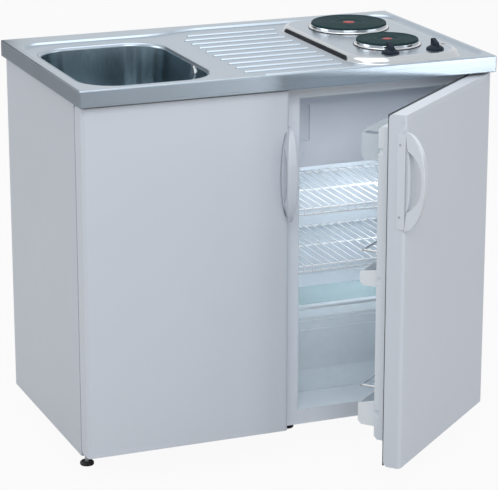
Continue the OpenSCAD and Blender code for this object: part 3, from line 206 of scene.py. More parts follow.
# %% Recipe of a finish
class Finish:
    def __init__(self, name, color, rough, metal=0.0, **fixed):
        self.material = bpy.data.materials.new(name)
        self.material.use_nodes = True
        self.tree = self.material.node_tree
        self.shader = self.tree.nodes["Principled BSDF"]
        self.start = Wire(self.tree)
        self.set("Base Color", (*color, 1.0))
        self.set("Roughness", rough)
        self.set("Metallic", metal)
        for key, value in fixed.items():
            self.set(key.replace("_", " "), value)
        self.place = self.start.node("ShaderNodeTexCoord", out="Object")

    def set(self, socket, value):
        self.start.plug(self.shader.inputs[socket], value)

    def stretched(self, factors, centre=(0, 0, 0)):
        moved = tuple(-c * f for c, f in zip(centre, factors))
        sockets = {"Vector": self.place, "Scale": factors, "Location": moved}
        return self.start.node("ShaderNodeMapping", None, sockets)

    def noise(self, size, detail=3.0, where=None):
        sockets = {"Vector": where or self.place, "Scale": 1 / size, "Detail": detail}
        return self.start.node("ShaderNodeTexNoise", None, sockets)

    def mixed(self, factor, first, second):
        colors = {0: factor, 6: first, 7: second}
        return self.start.node("ShaderNodeMix", {"data_type": "RGBA"}, colors, 2)

    def bump(self, height, depth):
        self.set("Normal", self.start.node("ShaderNodeBump", None, {"Height": height, "Distance": depth}))


def shade(color, factor):
    return tuple(c * factor for c in color) + (1.0,)


print("recipes ready")

# %% [markdown]
# Stainless steel for sinks is brushed: thousands of fine scratches that all run one way. Seen as numbers,
# that is a noise stretched along one axis, fed softly to the roughness, the bump and the colour.

# %% Brushed steel
ALONG, ACROSS = 6.0, 900.0


def brushed(name, color, along, rough=0.3, depth=0.00002):
    finish = Finish(name, color, rough, 1.0)
    factors = tuple(ALONG if axis == along else ACROSS for axis in range(3))
    streaks = finish.noise(1.0, 4.0, finish.stretched(factors))
    clouds = finish.noise(0.25, 2.0)
    finish.set("Roughness", rough + (streaks - 0.5) * 0.16 + (clouds - 0.5) * 0.08)
    mottled = finish.mixed(streaks * 0.5 + clouds * 0.5, shade(color, 0.9), shade(color, 1.1))
    finish.set("Base Color", mottled)
    finish.bump(streaks, depth)
    return finish.material


steel = brushed("worktop_steel", (0.37, 0.435, 0.50), 0)
# painted shade: the bowl is the same sheet as the worktop, coloured darker for the shade inside it
bowl_steel = brushed("bowl_steel", (0.31, 0.38, 0.42), 2, 0.2)
hob_steel = brushed("hob_edge_steel", (0.52, 0.55, 0.58), 0, 0.14, 0.000005)
zinc = brushed("zinc_steel", (0.50, 0.52, 0.54), 2, 0.42)
hinge_steel = brushed("hinge_steel", (0.52, 0.54, 0.56), 0, 0.36)
print("steels", steel.name, bowl_steel.name, zinc.name, hinge_steel.name)

# %% [markdown]
# Chrome is smooth, so a stretched noise would be wrong on it. All it needs is a very slight waviness and a
# haze of wiping marks.

# %% Chrome
def polished(name, color, rough=0.08):
    finish = Finish(name, color, rough, 1.0)
    haze = finish.noise(0.02, 4.0)
    finish.set("Roughness", rough + (haze - 0.5) * 0.08)
    finish.bump(finish.noise(0.015, 1.0), 0.00003)
    return finish.material


chrome = polished("fitting_chrome", (0.66, 0.68, 0.70))
ring_chrome = polished("ring_chrome", (0.62, 0.64, 0.66), 0.1)
print("chromes", chrome.name, ring_chrome.name)

# %% [markdown]
# Doors and sides are sheet steel under baked enamel. Sprayed enamel is not flat: it has orange peel, a
# ripple about two millimetres wide, and a faint unevenness of tone over the whole panel.

# %% Enamel
def enamel(name, color, rough=0.34, peel=0.00003):
    finish = Finish(name, color, rough, 0.0, Coat_Roughness=0.15, Coat_Weight=0.25)
    tone = finish.noise(0.3, 2.0)
    ripple = finish.noise(0.0022, 2.0)
    finish.set("Base Color", finish.mixed(tone, shade(color, 0.965), shade(color, 1.02)))
    finish.set("Roughness", rough + (finish.noise(0.05, 3.0) - 0.5) * 0.12)
    finish.bump(ripple, peel)
    return finish.material


door_white = enamel("door_paint", (0.645, 0.69, 0.765))
side_white = enamel("side_paint", (0.60, 0.645, 0.715))
# painted light: the case is the doors' white enamel coloured lighter, for its front in the worktop's shade
case_white_lit = enamel("case_paint", (0.82, 0.87, 0.95))
wire_white = enamel("coated_wire", (0.86, 0.89, 0.92), 0.3)
freezer_white = enamel("freezer_aluminium", (0.74, 0.80, 0.86), 0.3)
black_gloss = enamel("compressor_paint", (0.02, 0.02, 0.022), 0.25)
black_matt = enamel("condenser_paint", (0.03, 0.03, 0.033), 0.5)
print("enamels", door_white.name, side_white.name)

# %% [markdown]
# Moulded plastics come out of a polished or a spark-eroded mould. The first are glossy with a faint flow
# pattern, the second have a fine even grain. One recipe covers both by the size and depth of its grain.

# %% Moulded plastics
def moulded(name, color, rough, grain=0.0006, depth=0.00002, coat=0.0, **fixed):
    finish = Finish(name, color, rough, 0.0, Coat_Weight=coat, **fixed)
    flow = finish.noise(0.08, 2.0)
    fine = finish.noise(grain, 2.0)
    finish.set("Base Color", finish.mixed(flow, shade(color, 0.96), shade(color, 1.03)))
    finish.set("Roughness", rough + (fine - 0.5) * 0.1 + (flow - 0.5) * 0.06)
    finish.bump(fine, depth)
    return finish.material


handle_white = moulded("handle_plastic", (0.68, 0.725, 0.80), 0.16, coat=0.7)
cap_white = moulded("cap_plastic", (0.645, 0.69, 0.765), 0.4)
liner_white = moulded("liner_plastic", (0.72, 0.79, 0.85), 0.25, 0.004, 0.00003, 0.3)
flap_white = moulded("flap_plastic", (0.80, 0.85, 0.93), 0.22, 0.003, 0.00002, 0.3)
rack_white = moulded("rack_plastic", (0.82, 0.87, 0.91), 0.25, 0.003, 0.00002, 0.3)
lamp_white = moulded("lamp_plastic", (0.92, 0.94, 0.95), 0.3)
dial_white = moulded("dial_plastic", (0.80, 0.82, 0.84), 0.4)
waste_white = moulded("waste_plastic", (0.78, 0.78, 0.75), 0.4)
graphite = moulded("knob_plastic", (0.018, 0.026, 0.040), 0.4, 0.0008, 0.00003, Specular_IOR_Level=0.06)
black_plastic = moulded("black_plastic", (0.03, 0.03, 0.033), 0.5)
cap_grey = moulded("screw_cap_plastic", (0.42, 0.44, 0.48), 0.35)
print("plastics", handle_white.name, liner_white.name)

# %% [markdown]
# Rubber, hard foam, fired clay, board and lacquer are other materials, but to the eye they are the same kind
# of thing: one even colour with a grain. Each could have a recipe of its own. The one for plastics does for
# them all, with other numbers for the roughness and the grain.

# %% Rubber, foam, board and lacquer
ceramic = moulded("switch_ceramic", (0.75, 0.73, 0.68), 0.5)
rubber = moulded("foot_rubber", (0.025, 0.025, 0.028), 0.7, 0.001, 0.00006)
hose_rubber = moulded("hose_rubber", (0.05, 0.05, 0.055), 0.6, 0.001, 0.00005)
# painted shade: this dark colour stands in for the shade in the door's seam and under the trim rings
painted_shade_rubber = moulded("painted_shade_rubber", (0.07, 0.075, 0.085), 0.6)
magnet = moulded("magnet_rubber", (0.03, 0.03, 0.03), 0.6)
foam = moulded("foam", (0.80, 0.72, 0.50), 0.9, 0.003, 0.0004)
chipboard = moulded("board", (0.48, 0.36, 0.22), 0.8, 0.002, 0.0003)
red_lacquer = moulded("red_lacquer", (0.30, 0.030, 0.028), 0.5, 0.001, 0.00001)
mark_grey = moulded("mark_lacquer", (0.30, 0.31, 0.33), 0.45, 0.001, 0.00001)
print("rubbers", rubber.name, hose_rubber.name, painted_shade_rubber.name)

# %% [markdown]
# The magnetic gasket and the door's lining meet the door in a groove that runs all the way round, and the
# groove lies in shade. It could be cut into the mesh, but here its shade is painted into the colour as a darker
# band. How deep a point lies behind the door's hinge is a dot product with the direction that points inwards
# through the open door, so the painted band is a mask on that depth.

# %% Gasket and lining with painted shade in their groove
GROOVE_PAINTED_SHADE = (0.10, 0.11, 0.13, 1)


def with_painted_groove_shade(name, color, rough, groove_y):
    finish = Finish(name, color, rough)
    inward = Vector((-math.sin(DOOR_ANGLE), math.cos(DOOR_ANGLE), 0))
    depth = finish.start.node(
        "ShaderNodeVectorMath", {"operation": "DOT_PRODUCT"}, {0: finish.place, 1: inward}, "Value"
    )
    groove_end = (groove_y - DOOR_PIN[1]) / 1000 + inward.dot(at(*DOOR_PIN, 0))
    short_of_end = groove_end - depth
    in_painted_shade = short_of_end.math("GREATER_THAN", short_of_end, 0.0)
    fine = finish.noise(0.001, 2.0)
    pale = finish.mixed(fine, shade(color, 0.96), shade(color, 1.03))
    # painted shade: the part of the surface that lies in the groove is coloured dark
    finish.set("Base Color", finish.mixed(in_painted_shade, pale, GROOVE_PAINTED_SHADE))
    finish.set("Roughness", rough + (fine - 0.5) * 0.1)
    finish.bump(fine, 0.00003)
    return finish.material


gasket = with_painted_groove_shade("gasket_rubber", (0.66, 0.69, 0.72), 0.55, -236.6)
door_liner = with_painted_groove_shade("door_liner_plastic", (0.80, 0.85, 0.91), 0.25, -238.2)
print("seal", gasket.name, door_liner.name)

# %% [markdown]
# The drawer and the small racks are clear plastic with a bluish tint, and one shelf is glass. A share of
# the light passes straight through, which Alpha does without the noise of true refraction.

# %% Clear plastic and glass
def clear(name, color, alpha, rough=0.08):
    finish = Finish(name, color, rough, 0.0)
    finish.material.surface_render_method = "BLENDED"
    dust = finish.noise(0.03, 4.0)
    finish.set("Roughness", rough + (dust - 0.5) * 0.06)
    finish.set("Alpha", alpha + (dust - 0.5) * 0.06)
    return finish.material


clear_blue = clear("clear_plastic", (0.80, 0.88, 0.94), 0.40)
shelf_glass = clear("shelf_glass", (0.46, 0.66, 0.69), 0.46, 0.04)
print("clear", clear_blue.name, shelf_glass.name)

# %% [markdown]
# A hotplate is cast iron, turned on a lathe and blackened. The lathe leaves rings, so the bump follows the
# distance from the plate's middle. A sine of that distance gives one ring every 1.6 millimetres.

# %% Blackened iron
PLATES = {"rear": (306, 92, 90.0), "front": (306, -124, 72.5)}
RING_PITCH = 0.0016


def turned_iron(name, x, y):
    finish = Finish(name, (0.012, 0.030, 0.034), 0.6, 0.0, Specular_IOR_Level=0.03)
    flat = finish.stretched((1, 1, 0), at(x, y, 0))
    radius = finish.start.node("ShaderNodeVectorMath", {"operation": "LENGTH"}, {"Vector": flat}, "Value")
    turn = radius * (2 * math.pi / RING_PITCH)
    rings = turn.math("SINE", turn)
    rust = finish.noise(0.02, 4.0)
    finish.set("Base Color", finish.mixed(rust, (0.010, 0.030, 0.036, 1), (0.022, 0.052, 0.058, 1)))
    finish.set("Roughness", 0.55 + rings * 0.05 + (rust - 0.5) * 0.2)
    finish.bump(rings, 0.00008)
    return finish.material


iron = {name: turned_iron("hotplate_iron_" + name, x, y) for name, (x, y, radius) in PLATES.items()}
print("iron", iron["rear"].name, iron["front"].name)

# %% [markdown]
# Now each solid gets its finish. It could be set piece by piece where the piece is made, but a list per finish
# is easier to check against the real unit, and anything forgotten stops the notebook.

# %% Finish the solids
DRESS = {
    steel: ["worktop"],
    bowl_steel: ["sink_bowl"],
    chrome: ["overflow_plate", "waste_flange", "strainer_basket", "rack_rails"],
    ring_chrome: ["ring_rear", "ring_front"],
    zinc: ["plate_clamps", "hob_tray", "compressor_plate", "foot_stems"],
    hinge_steel: ["cup_hinges", "fridge_hinges"],
    iron["rear"]: ["hotplate_rear"],
    iron["front"]: ["hotplate_front"],
    graphite: ["knob_left", "knob_right"],
    door_white: ["cup_door_skin", "fridge_door_skin"],
    side_white: ["side_panel", "partition", "cupboard_floor", "cupboard_back"],
    case_white_lit: ["fridge_case"],
    cap_white: ["cup_door_caps", "fridge_door_caps"],
    handle_white: ["cup_handle", "fridge_handle"],
    liner_white: ["fridge_liner", "glass_trim"],
    door_liner: ["fridge_door_liner"],
    freezer_white: ["freezer_box"],
    flap_white: ["freezer_flap"],
    rack_white: ["middle_rack", "bottle_rack"],
    wire_white: ["shelf_frames", "shelf_wires"],
    clear_blue: ["crisper", "egg_rack", "egg_lid"],
    shelf_glass: ["glass_shelf"],
    lamp_white: ["lamp_housing"],
    dial_white: ["thermostat_dial"],
    waste_white: ["waste_body", "trap_cup", "drain_pipe"],
    ceramic: ["hob_switches"],
    black_plastic: ["cable_gland", "drip_pan"],
    black_gloss: ["compressor"],
    black_matt: ["condenser"],
    rubber: ["fridge_pads", "foot_pads"],
    hose_rubber: ["overflow_hose"],
    magnet: ["door_magnet"],
    gasket: ["door_gasket"],
    foam: ["case_foam", "fridge_door_foam"],
    chipboard: ["support_board"],
}
dressed = set()
for material, names in DRESS.items():
    for name in names:
        for slot in nodes[name].material_slots:
            slot.material = material
        dressed.add(name)
assert dressed == set(nodes), set(nodes) ^ dressed
print(len(dressed), "solids have a finish")

# %% [markdown]
# Sheet metal is bent round a radius and plastic is moulded with one, and that small rounding catches the
# light. Three modifiers give it to a solid: Weld joins its loose triangles, Decimate in its planar mode
# clears the lines across flat faces, and Bevel rounds what is still an edge. The widths are in millimetres.

# %% Soften edges
SOFT = {
    "fridge_case": 1.2,
    "fridge_liner": 2.5,
    "fridge_door_liner": 4.0,
    "fridge_door_caps": 1.0,
    "cup_door_caps": 1.0,
    "freezer_box": 1.5,
    "freezer_flap": 1.5,
    "middle_rack": 0.8,
    "bottle_rack": 0.8,
    "egg_rack": 0.6,
    "glass_trim": 1.0,
    "crisper": 0.8,
    "side_panel": 0.8,
    "knob_left": 0.8,
    "knob_right": 0.8,
    "lamp_housing": 1.5,
}
SHARP = math.radians(32)


def soften(name, width):
    piece = nodes[name]
    weld = piece.modifiers.new("join", "WELD")
    weld.merge_threshold = 0.00001
    clean = piece.modifiers.new("clean", "DECIMATE")
    clean.decimate_type = "DISSOLVE"
    clean.angle_limit = math.radians(1)
    bevel = piece.modifiers.new("edges", "BEVEL")
    bevel.width = width / 1000
    bevel.segments = 2
    bevel.limit_method = "ANGLE"
    bevel.angle_limit = SHARP
    bevel.harden_normals = False


for name, width in SOFT.items():
    soften(name, width)
print(len(SOFT), "solids softened")

# %% [markdown]
# The worktop is one sheet of stainless steel. A press draws the bowl, the field round it, the ribs of the
# drainer and the raised hob in a few strokes. All of them start as a flat outline with rounded corners. It
# could be worked out point by point, but a bevel of a corner does the same and leaves one clean face.

# %% Rounded outlines
def rectangle(x0, y0, x1, y1, cut):
    return [(x0, y0, cut), (x1, y0, cut), (x1, y1, cut), (x0, y1, cut)]


def outline(form, z, corners, segments=8):
    points = [form.verts.new((x, y, z)) for x, y, cut in corners]
    face = form.faces.new(points)
    for point, (x, y, cut) in zip(points, corners):
        rounded = bmesh.ops.bevel(
            form,
            geom=[point],
            offset=cut,
            offset_type="ABSOLUTE",
            segments=segments,
            profile=0.5,
            affect="VERTICES",
            material=-1,
        )
        face = rounded["verts"][0].link_faces[0]
    return face


print("outlines can be drawn")

# %% [markdown]
# Every wall of a pressing leans a little and every edge is a bend. That could be sculpted from a subdivided
# box. A press works in steps, though, so much inwards and so much down, and insetting a face does exactly
# that. So each outline walks down its profile, a list of how far in and how high.

# %% A press made of insets
def press(form, face, profile, finish=0):
    walls = []
    inward, high = 0.0, 0.0
    for next_inward, next_high in profile:
        step = {"thickness": next_inward - inward, "depth": next_high - high}
        walls += bmesh.ops.inset_individual(form, faces=[face], use_even_offset=True, **step)["faces"]
        inward, high = next_inward, next_high
    for wall in walls:
        wall.material_index = finish
    return walls


def bend(start, radius, down, flat_first, steps=6):
    points = []
    for step in range(1, steps + 1):
        turn = math.pi / 2 * step / steps
        long_way, short_way = radius * math.sin(turn), radius * (1 - math.cos(turn))
        inward, rise = (long_way, short_way) if flat_first else (short_way, long_way)
        points.append((start[0] + inward, start[1] - rise if down else start[1] + rise))
    return points


print("press ready")

# %% [markdown]
# Between the forms the sheet is flat. Filling that flat from its border edges leaves room for each form by
# itself. A finished form is then changed from millimetres to the model's metres and told which body carries
# it, so that it moves with the right joint.

# %% Flat parts and finished forms
def fill_flat(form, edges, finish=0):
    made = bmesh.ops.triangle_fill(form, use_beauty=True, use_dissolve=False, normal=(0, 0, 1), edges=edges)
    for face in [item for item in made["geom"] if isinstance(item, bmesh.types.BMFace)]:
        face.material_index = finish
        if face.normal.z < 0:
            face.normal_flip()


def settle(form, name, materials, body):
    to_model = Matrix.Scale(0.001, 4) @ Matrix.Translation((0, SHIFT_Y, 0))
    bmesh.ops.transform(form, matrix=to_model, verts=form.verts)
    for face in form.faces:
        face.smooth = True
    mesh = bpy.data.meshes.new(name)
    form.to_mesh(mesh)
    form.free()
    for material in materials:
        mesh.materials.append(material)
    piece = bpy.data.objects.new(name, mesh)
    bpy.context.collection.objects.link(piece)
    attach(piece, body)
    return piece


print("forms can be finished")

# %% [markdown]
# The sheet's own edge comes first: a wall 38 mm high, bent over at the top and folded under at the bottom, as
# a folding machine leaves it. The bottom fold is a second outline, pressed downwards and turned over.

# %% Edge of the sheet
HALF_WIDE, HALF_DEEP, CORNER_CUT = 500, 300, 3.2
LOW_EDGE, TOP, FIELD = 862.0, 900.0, 895.0
FOLD_BEND, FOLD_DEEP, TOP_BEND = 2, 14, 3
sheet = bmesh.new()
around = rectangle(-HALF_WIDE, -HALF_DEEP, HALF_WIDE, HALF_DEEP, CORNER_CUT)

under = outline(sheet, LOW_EDGE + FOLD_BEND, around, 4)
fold = press(sheet, under, bend((0, 0), FOLD_BEND, True, False, 3) + [(FOLD_DEEP, -FOLD_BEND)])
bmesh.ops.delete(sheet, geom=[under], context="FACES_ONLY")
for face in fold:
    face.normal_flip()

rim = outline(sheet, LOW_EDGE + FOLD_BEND, around, 4)
wall_high = TOP - TOP_BEND - LOW_EDGE - FOLD_BEND
press(sheet, rim, [(0, wall_high)] + bend((0, wall_high), TOP_BEND, False, False, 4))
rim_edges = list(rim.edges)
bmesh.ops.delete(sheet, geom=[rim], context="FACES_ONLY")
print(len(sheet.faces), "faces round the edge")

# %% [markdown]
# The field lies 5 mm lower than the rim and catches the water. Behind the bowl it steps forward, to leave a
# wider bank at the back, and then swings back behind the drainer in a soft S. Six corners give that shape.
# The cuts of the two inner ones nearly meet, and that makes the S.

# %% Sunken field
FIELD_CUT, SWING_CUT = 59.5, 39
field_corners = [
    (-482.5, -293.5, FIELD_CUT),
    (491.5, -293.5, FIELD_CUT),
    (491.5, 266.5, FIELD_CUT),
    (-58, 266.5, SWING_CUT),
    (-134, 236.5, SWING_CUT),
    (-482.5, 236.5, FIELD_CUT),
]
field_step = [(1, -0.2), (2.5, -0.9), (4.5, -2.5), (6.5, -4.1), (8, -4.8), (9, -5)]
field = outline(sheet, TOP, field_corners, 12)
fill_flat(sheet, rim_edges + list(field.edges))
press(sheet, field, field_step)
flat_edges = list(field.edges)
bmesh.ops.delete(sheet, geom=[field], context="FACES_ONLY")
print("field", round(field_corners[1][0] - field_corners[0][0]), "mm wide")

# %% [markdown]
# The bowl is deep-drawn: a lip that rolls over, a wall that leans in by 4 degrees, and a wide bend into the
# floor, with a round hole for the waste. The same walk down a profile makes it, only longer.

# %% Bowl
WASTE = (-310.5, -36.0)
WASTE_RADIUS = 43
LIP_BEND, FLOOR_BEND = 8, 45
WALL_FOOT = (15.5, -110)
BOWL_FLOOR = FIELD + WALL_FOOT[1] - FLOOR_BEND
bowl = outline(sheet, FIELD, rectangle(-468.5, -257.5, -152.5, 185.5, 92.5), 20)
flat_edges += list(bowl.edges)
lip = bend((0, 0), LIP_BEND, True, True, 7)
press(sheet, bowl, lip)
below_lip = [WALL_FOOT] + bend(WALL_FOOT, FLOOR_BEND, True, False, 9)
press(sheet, bowl, [(x - lip[-1][0], z - lip[-1][1]) for x, z in below_lip], 1)
bowl_edges = list(bowl.edges)
bmesh.ops.delete(sheet, geom=[bowl], context="FACES_ONLY")
waste_place = Matrix.Translation((*WASTE, BOWL_FLOOR))
hole = bmesh.ops.create_circle(sheet, cap_ends=False, segments=48, radius=WASTE_RADIUS, matrix=waste_place)
hole_edges = list({edge for vert in hole["verts"] for edge in vert.link_edges})
fill_flat(sheet, bowl_edges + hole_edges, 1)
print("bowl floor at", BOWL_FLOOR, "mm")

# %% [markdown]
# The hob is pressed the other way, 14 mm up, with steep sides that roll over softly. Its front leans back
# further than its other sides, so once it is pressed its front half is pushed back in step with its height.

# %% Raised hob
HOB = (162.5, -280.5, 449.5, 232.5)
HOB_HIGH, HOB_LEAN = 14, 8
hob_profile = [
    (1.3, 0.25),
    (2.3, 1.1),
    (3.1, 2.6),
    (4.1, 5.0),
    (5.3, 7.3),
    (7.1, 9.8),
    (9.5, 11.8),
    (12.1, 13.1),
    (14.5, 13.8),
    (16.5, HOB_HIGH),
]
hob = outline(sheet, FIELD, rectangle(*HOB, 82.5), 14)
flat_edges += list(hob.edges)
hob_sides = press(sheet, hob, hob_profile, 2)
hob.material_index = 3
hob_middle = (HOB[1] + HOB[3]) / 2
for vert in {vert for face in hob_sides for vert in face.verts}:
    if vert.co.y < hob_middle:
        vert.co.y += HOB_LEAN * (vert.co.z - FIELD) / HOB_HIGH
print("hob top at", round(max(v.co.z for v in hob.verts), 1), "mm")

# %% [markdown]
# The drainer's ribs are long narrow domes. Each is a rounded strip that walks up until hardly any flat is left.
# The first and the last rib lie a little further to the right than the others. The rounded corners of the hob
# leave them the room for it.

# %% Ribs of the drainer
RIBS, PITCH, RIB_HALF = 11, 47.0, 7.0
FIRST_RIB, RIB_LEFT, RIB_RIGHT = -276, -97, 148
MOVED = {0: (30, 24), RIBS - 1: (24, 14)}
rib_profile = [(1.2, 0.25), (2.4, 1.2), (3.8, 2.4), (5.2, 3.2), (6.2, 3.5)]
for index in range(RIBS):
    left, right = MOVED.get(index, (0, 0))
    y = FIRST_RIB + PITCH * index
    strip = rectangle(RIB_LEFT + left, y - RIB_HALF, RIB_RIGHT + right, y + RIB_HALF, RIB_HALF - 0.4)
    rib = outline(sheet, FIELD, strip, 6)
    flat_edges += list(rib.edges)
    press(sheet, rib, rib_profile, 3)
    rib.material_index = 3
fill_flat(sheet, flat_edges)
print(RIBS, "ribs")

# %% [markdown]
# So far the sheet has no thickness. It could be drawn a second time from below, but Solidify gives it its
# 1.2 mm downwards, so that the top stays where it was drawn. Weighted Normal lets the large flat faces decide
# how the bends beside them shine.

# %% Gauge of the sheet
bmesh.ops.remove_doubles(sheet, verts=sheet.verts, dist=0.01)
worktop = settle(sheet, "pressed_worktop", [steel, bowl_steel, hob_steel, steel], "unit")
gauge = worktop.modifiers.new("gauge", "SOLIDIFY")
gauge.thickness = 0.0012
gauge.offset = -1
worktop.modifiers.new("even_shine", "WEIGHTED_NORMAL")
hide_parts("worktop", "sink_bowl")
print(len(worktop.data.polygons), "faces in the worktop")

# %% [markdown]
# Each door has a bowed handle of white plastic. From the side it is a slim arch over a finger hole, the band
# between two loops: a half ellipse and the hole. Both start as a circle whose points are moved onto the curve,
# so that they have as many points as each other and can be bridged.

# %% Loops of the handle
DOOR_FACE = -280.0
HANDLE_OUT, HANDLE_HALF, HANDLE_WIDE, HANDLE_LIP = 45.8, 110.0, 24.0, 1.5
HOLE_HALF, HOLE_SIDE, BOW_THICK, RIDGE = 68.0, 5.0, 8.0, 12.0


def side_loop(form, half, front_reach, back_reach, power, root):
    ring = bmesh.ops.create_circle(form, cap_ends=False, segments=72, radius=1)["verts"]
    for vert in ring:
        reach = front_reach if vert.co.x > 0 else back_reach
        fullness = max(1 - abs(vert.co.y) ** power, 0) ** root
        vert.co = (-HANDLE_LIP, DOOR_FACE - reach[0] - reach[1] * fullness, half * vert.co.y)
    return list({edge for vert in ring for edge in vert.link_edges})


def on_bow(vert):
    full = HANDLE_OUT * math.sqrt(max(1 - (vert.co.z / HANDLE_HALF) ** 2, 0))
    return abs(DOOR_FACE - vert.co.y - full) < 0.5


print("handle", 2 * HANDLE_HALF, "mm long")

# %% [markdown]
# Bridging the loops gives clean quads, which are extruded across the handle's width. The outer edges get a
# wide rounding and the edges of the hole a small one. From the front the handle is a lens, wide in the middle
# and running out at its ends, so at last its width is drawn in towards them.

# %% Arch of the handle
BOW_ROUND, HOLE_ROUND = 2.6, 1.0


def arch(form):
    hole_out = HANDLE_OUT - BOW_THICK - HOLE_SIDE
    outside = side_loop(form, HANDLE_HALF, (0, HANDLE_OUT), (0, 0), 2, 0.5)
    hole = side_loop(form, HOLE_HALF, (HOLE_SIDE, hole_out), (HOLE_SIDE, RIDGE - HOLE_SIDE), 3, 1)
    band = bmesh.ops.bridge_loops(form, edges=outside + hole)["faces"]
    across = bmesh.ops.extrude_face_region(form, geom=band)
    moved = [item for item in across["geom"] if isinstance(item, bmesh.types.BMVert)]
    bmesh.ops.translate(form, vec=(HANDLE_WIDE, 0, 0), verts=moved)
    bmesh.ops.recalc_face_normals(form, faces=form.faces)
    corners = [edge for edge in form.edges if edge.calc_face_angle(0) > math.radians(60)]
    corners = [edge for edge in corners if max(v.co.y for v in edge.verts) < DOOR_FACE - 1]
    bow_edges = [edge for edge in corners if on_bow(edge.verts[0]) and on_bow(edge.verts[1])]
    hole_edges = [edge for edge in corners if edge not in bow_edges]
    for width, edges in ((BOW_ROUND, bow_edges), (HOLE_ROUND, hole_edges)):
        bmesh.ops.bevel(form, geom=edges, offset=width, segments=3, profile=0.5, affect="EDGES", material=-1)
    for vert in form.verts:
        lens = math.sqrt(max(1 - (vert.co.z / HANDLE_HALF) ** 2, 0.02))
        vert.co.x = (vert.co.x + HANDLE_LIP) * lens - HANDLE_LIP


print("rounded by", BOW_ROUND, "and", HOLE_ROUND, "mm")

# %% [markdown]
# The handle is moulded in one piece with a strip that wraps round the door's long edge, where two screws hold
# it. Small round covers hide the screws. The strip is one outline, extruded upwards, and a cover is a flat
# cone, because a moulded cover has to taper to come out of its mould.

# %% Strip and screw covers
def disc(form, place, wide, narrow, thick, segments, finish=0):
    made = bmesh.ops.create_cone(
        form, cap_ends=True, segments=segments, radius1=wide, radius2=narrow, depth=thick, matrix=place
    )
    for face in {face for vert in made["verts"] for face in vert.link_faces}:
        face.material_index = finish


def edge_strip(form):
    lip, back = -HANDLE_LIP, DOOR_FACE + 19
    strip = [(lip, back, 0.4), (lip, DOOR_FACE - 0.5, 1.4), (10, DOOR_FACE - 0.5, 0.3)]
    strip += [(10, DOOR_FACE, 0.3), (0, DOOR_FACE, 9), (0, back, 0.3)]
    foot = outline(form, 3 - HANDLE_HALF, strip, 6)
    risen = bmesh.ops.extrude_face_region(form, geom=[foot])
    top = [item for item in risen["geom"] if isinstance(item, bmesh.types.BMVert)]
    bmesh.ops.translate(form, vec=(0, 0, 2 * HANDLE_HALF - 6), verts=top)
    foot.normal_flip()


SIDEWAYS = Matrix.Rotation(math.pi / 2, 4, "Y")
print("strip and covers ready")

# %% [markdown]
# Both doors have the same handle. The cupboard door is hung the other way round, so its handle is a mirror
# image, and the refrigerator's swings with its door. A mirror turns a mesh inside out, so the normals are
# worked out again after it.

# %% Both handles
def bowed_handle(name, place, node, body):
    form = bmesh.new()
    arch(form)
    edge_strip(form)
    for z in (-80, 80):
        screw = Matrix.Translation((-HANDLE_LIP, DOOR_FACE + 12, z)) @ SIDEWAYS
        disc(form, screw, 2.9, 2.3, 1.0, 20, 1)
    bmesh.ops.transform(form, matrix=place, verts=form.verts)
    bmesh.ops.recalc_face_normals(form, faces=form.faces)
    piece = settle(form, name, [handle_white, cap_grey], body)
    piece.modifiers.new("even_shine", "WEIGHTED_NORMAL")
    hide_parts(node)


cup_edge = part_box("cup_handle")[1].x * 1000 - HANDLE_LIP
cup_place = Matrix.Translation((cup_edge, 0, 664)) @ Matrix.Scale(-1, 4, (1, 0, 0))
fridge_place = door_swing @ Matrix.Translation((-0.5, 0, 711))
bowed_handle("cupboard_handle_bow", cup_place, "cup_handle", "cupboard_door")
bowed_handle("fridge_handle_bow", fridge_place, "fridge_handle", "fridge_door")
print("handles at", round(cup_edge, 1), "and on the open door")

# %% [markdown]
# Between the folded back of the refrigerator door and its lining the seam lies in shade. The painted shade in
# the gasket's finish is not enough for it, because from the camera's side the door hides that line. So a thin
# dark strip in the seam paints its shade. The strip is a flat frame cut by one inset and given its thickness by
# an extrusion.

# %% Painted shade strip in the refrigerator door's seam
DOOR_BACK = DOOR_FACE + 40
STRIP_WIDE, STRIP_THICK = 4, 2.4
# painted shade: a thin dark strip stands where the seam is in shade
seam = bmesh.new()
upright = Matrix.Rotation(math.pi / 2, 4, "X")
bmesh.ops.create_grid(seam, x_segments=1, y_segments=1, size=0.5, matrix=upright)
bmesh.ops.scale(seam, vec=(492.6, 1, 801), verts=seam.verts)
bmesh.ops.translate(seam, vec=(246.9, DOOR_BACK, 454), verts=seam.verts)
pane = next(iter(seam.faces))
bmesh.ops.inset_individual(seam, faces=[pane], thickness=STRIP_WIDE)
bmesh.ops.delete(seam, geom=[pane], context="FACES_ONLY")
thick = bmesh.ops.extrude_face_region(seam, geom=list(seam.faces))
thick_verts = [item for item in thick["geom"] if isinstance(item, bmesh.types.BMVert)]
bmesh.ops.translate(seam, vec=(0, STRIP_THICK, 0), verts=thick_verts)
bmesh.ops.recalc_face_normals(seam, faces=seam.faces)
print(len(seam.faces), "faces in the strip")

# %% [markdown]
# Such a door can be hung from either side. The hole that is left over in its edge is closed by a small white
# plug, a flat cone like the screw covers. It joins the strip's mesh, since both stay on the door.

# %% Plug in the door's edge
disc(seam, Matrix.Translation((-1, -275, 843)) @ SIDEWAYS, 2.9, 2.2, 1.0, 20, 1)
bmesh.ops.transform(seam, matrix=door_swing, verts=seam.verts)
seam_shade_strip = settle(seam, "door_seam_shade_strip", [painted_shade_rubber, cap_white], "fridge_door")
seam_shade_strip.modifiers.new("even_shine", "WEIGHTED_NORMAL")
print("seam strip laid")

# %% [markdown]
# A red dot in the middle of a hotplate says that it is a fast one. It is thin lacquer and could be a mask in
# the iron's finish, but a disc hardly thicker than paint keeps a crisp edge at any distance.

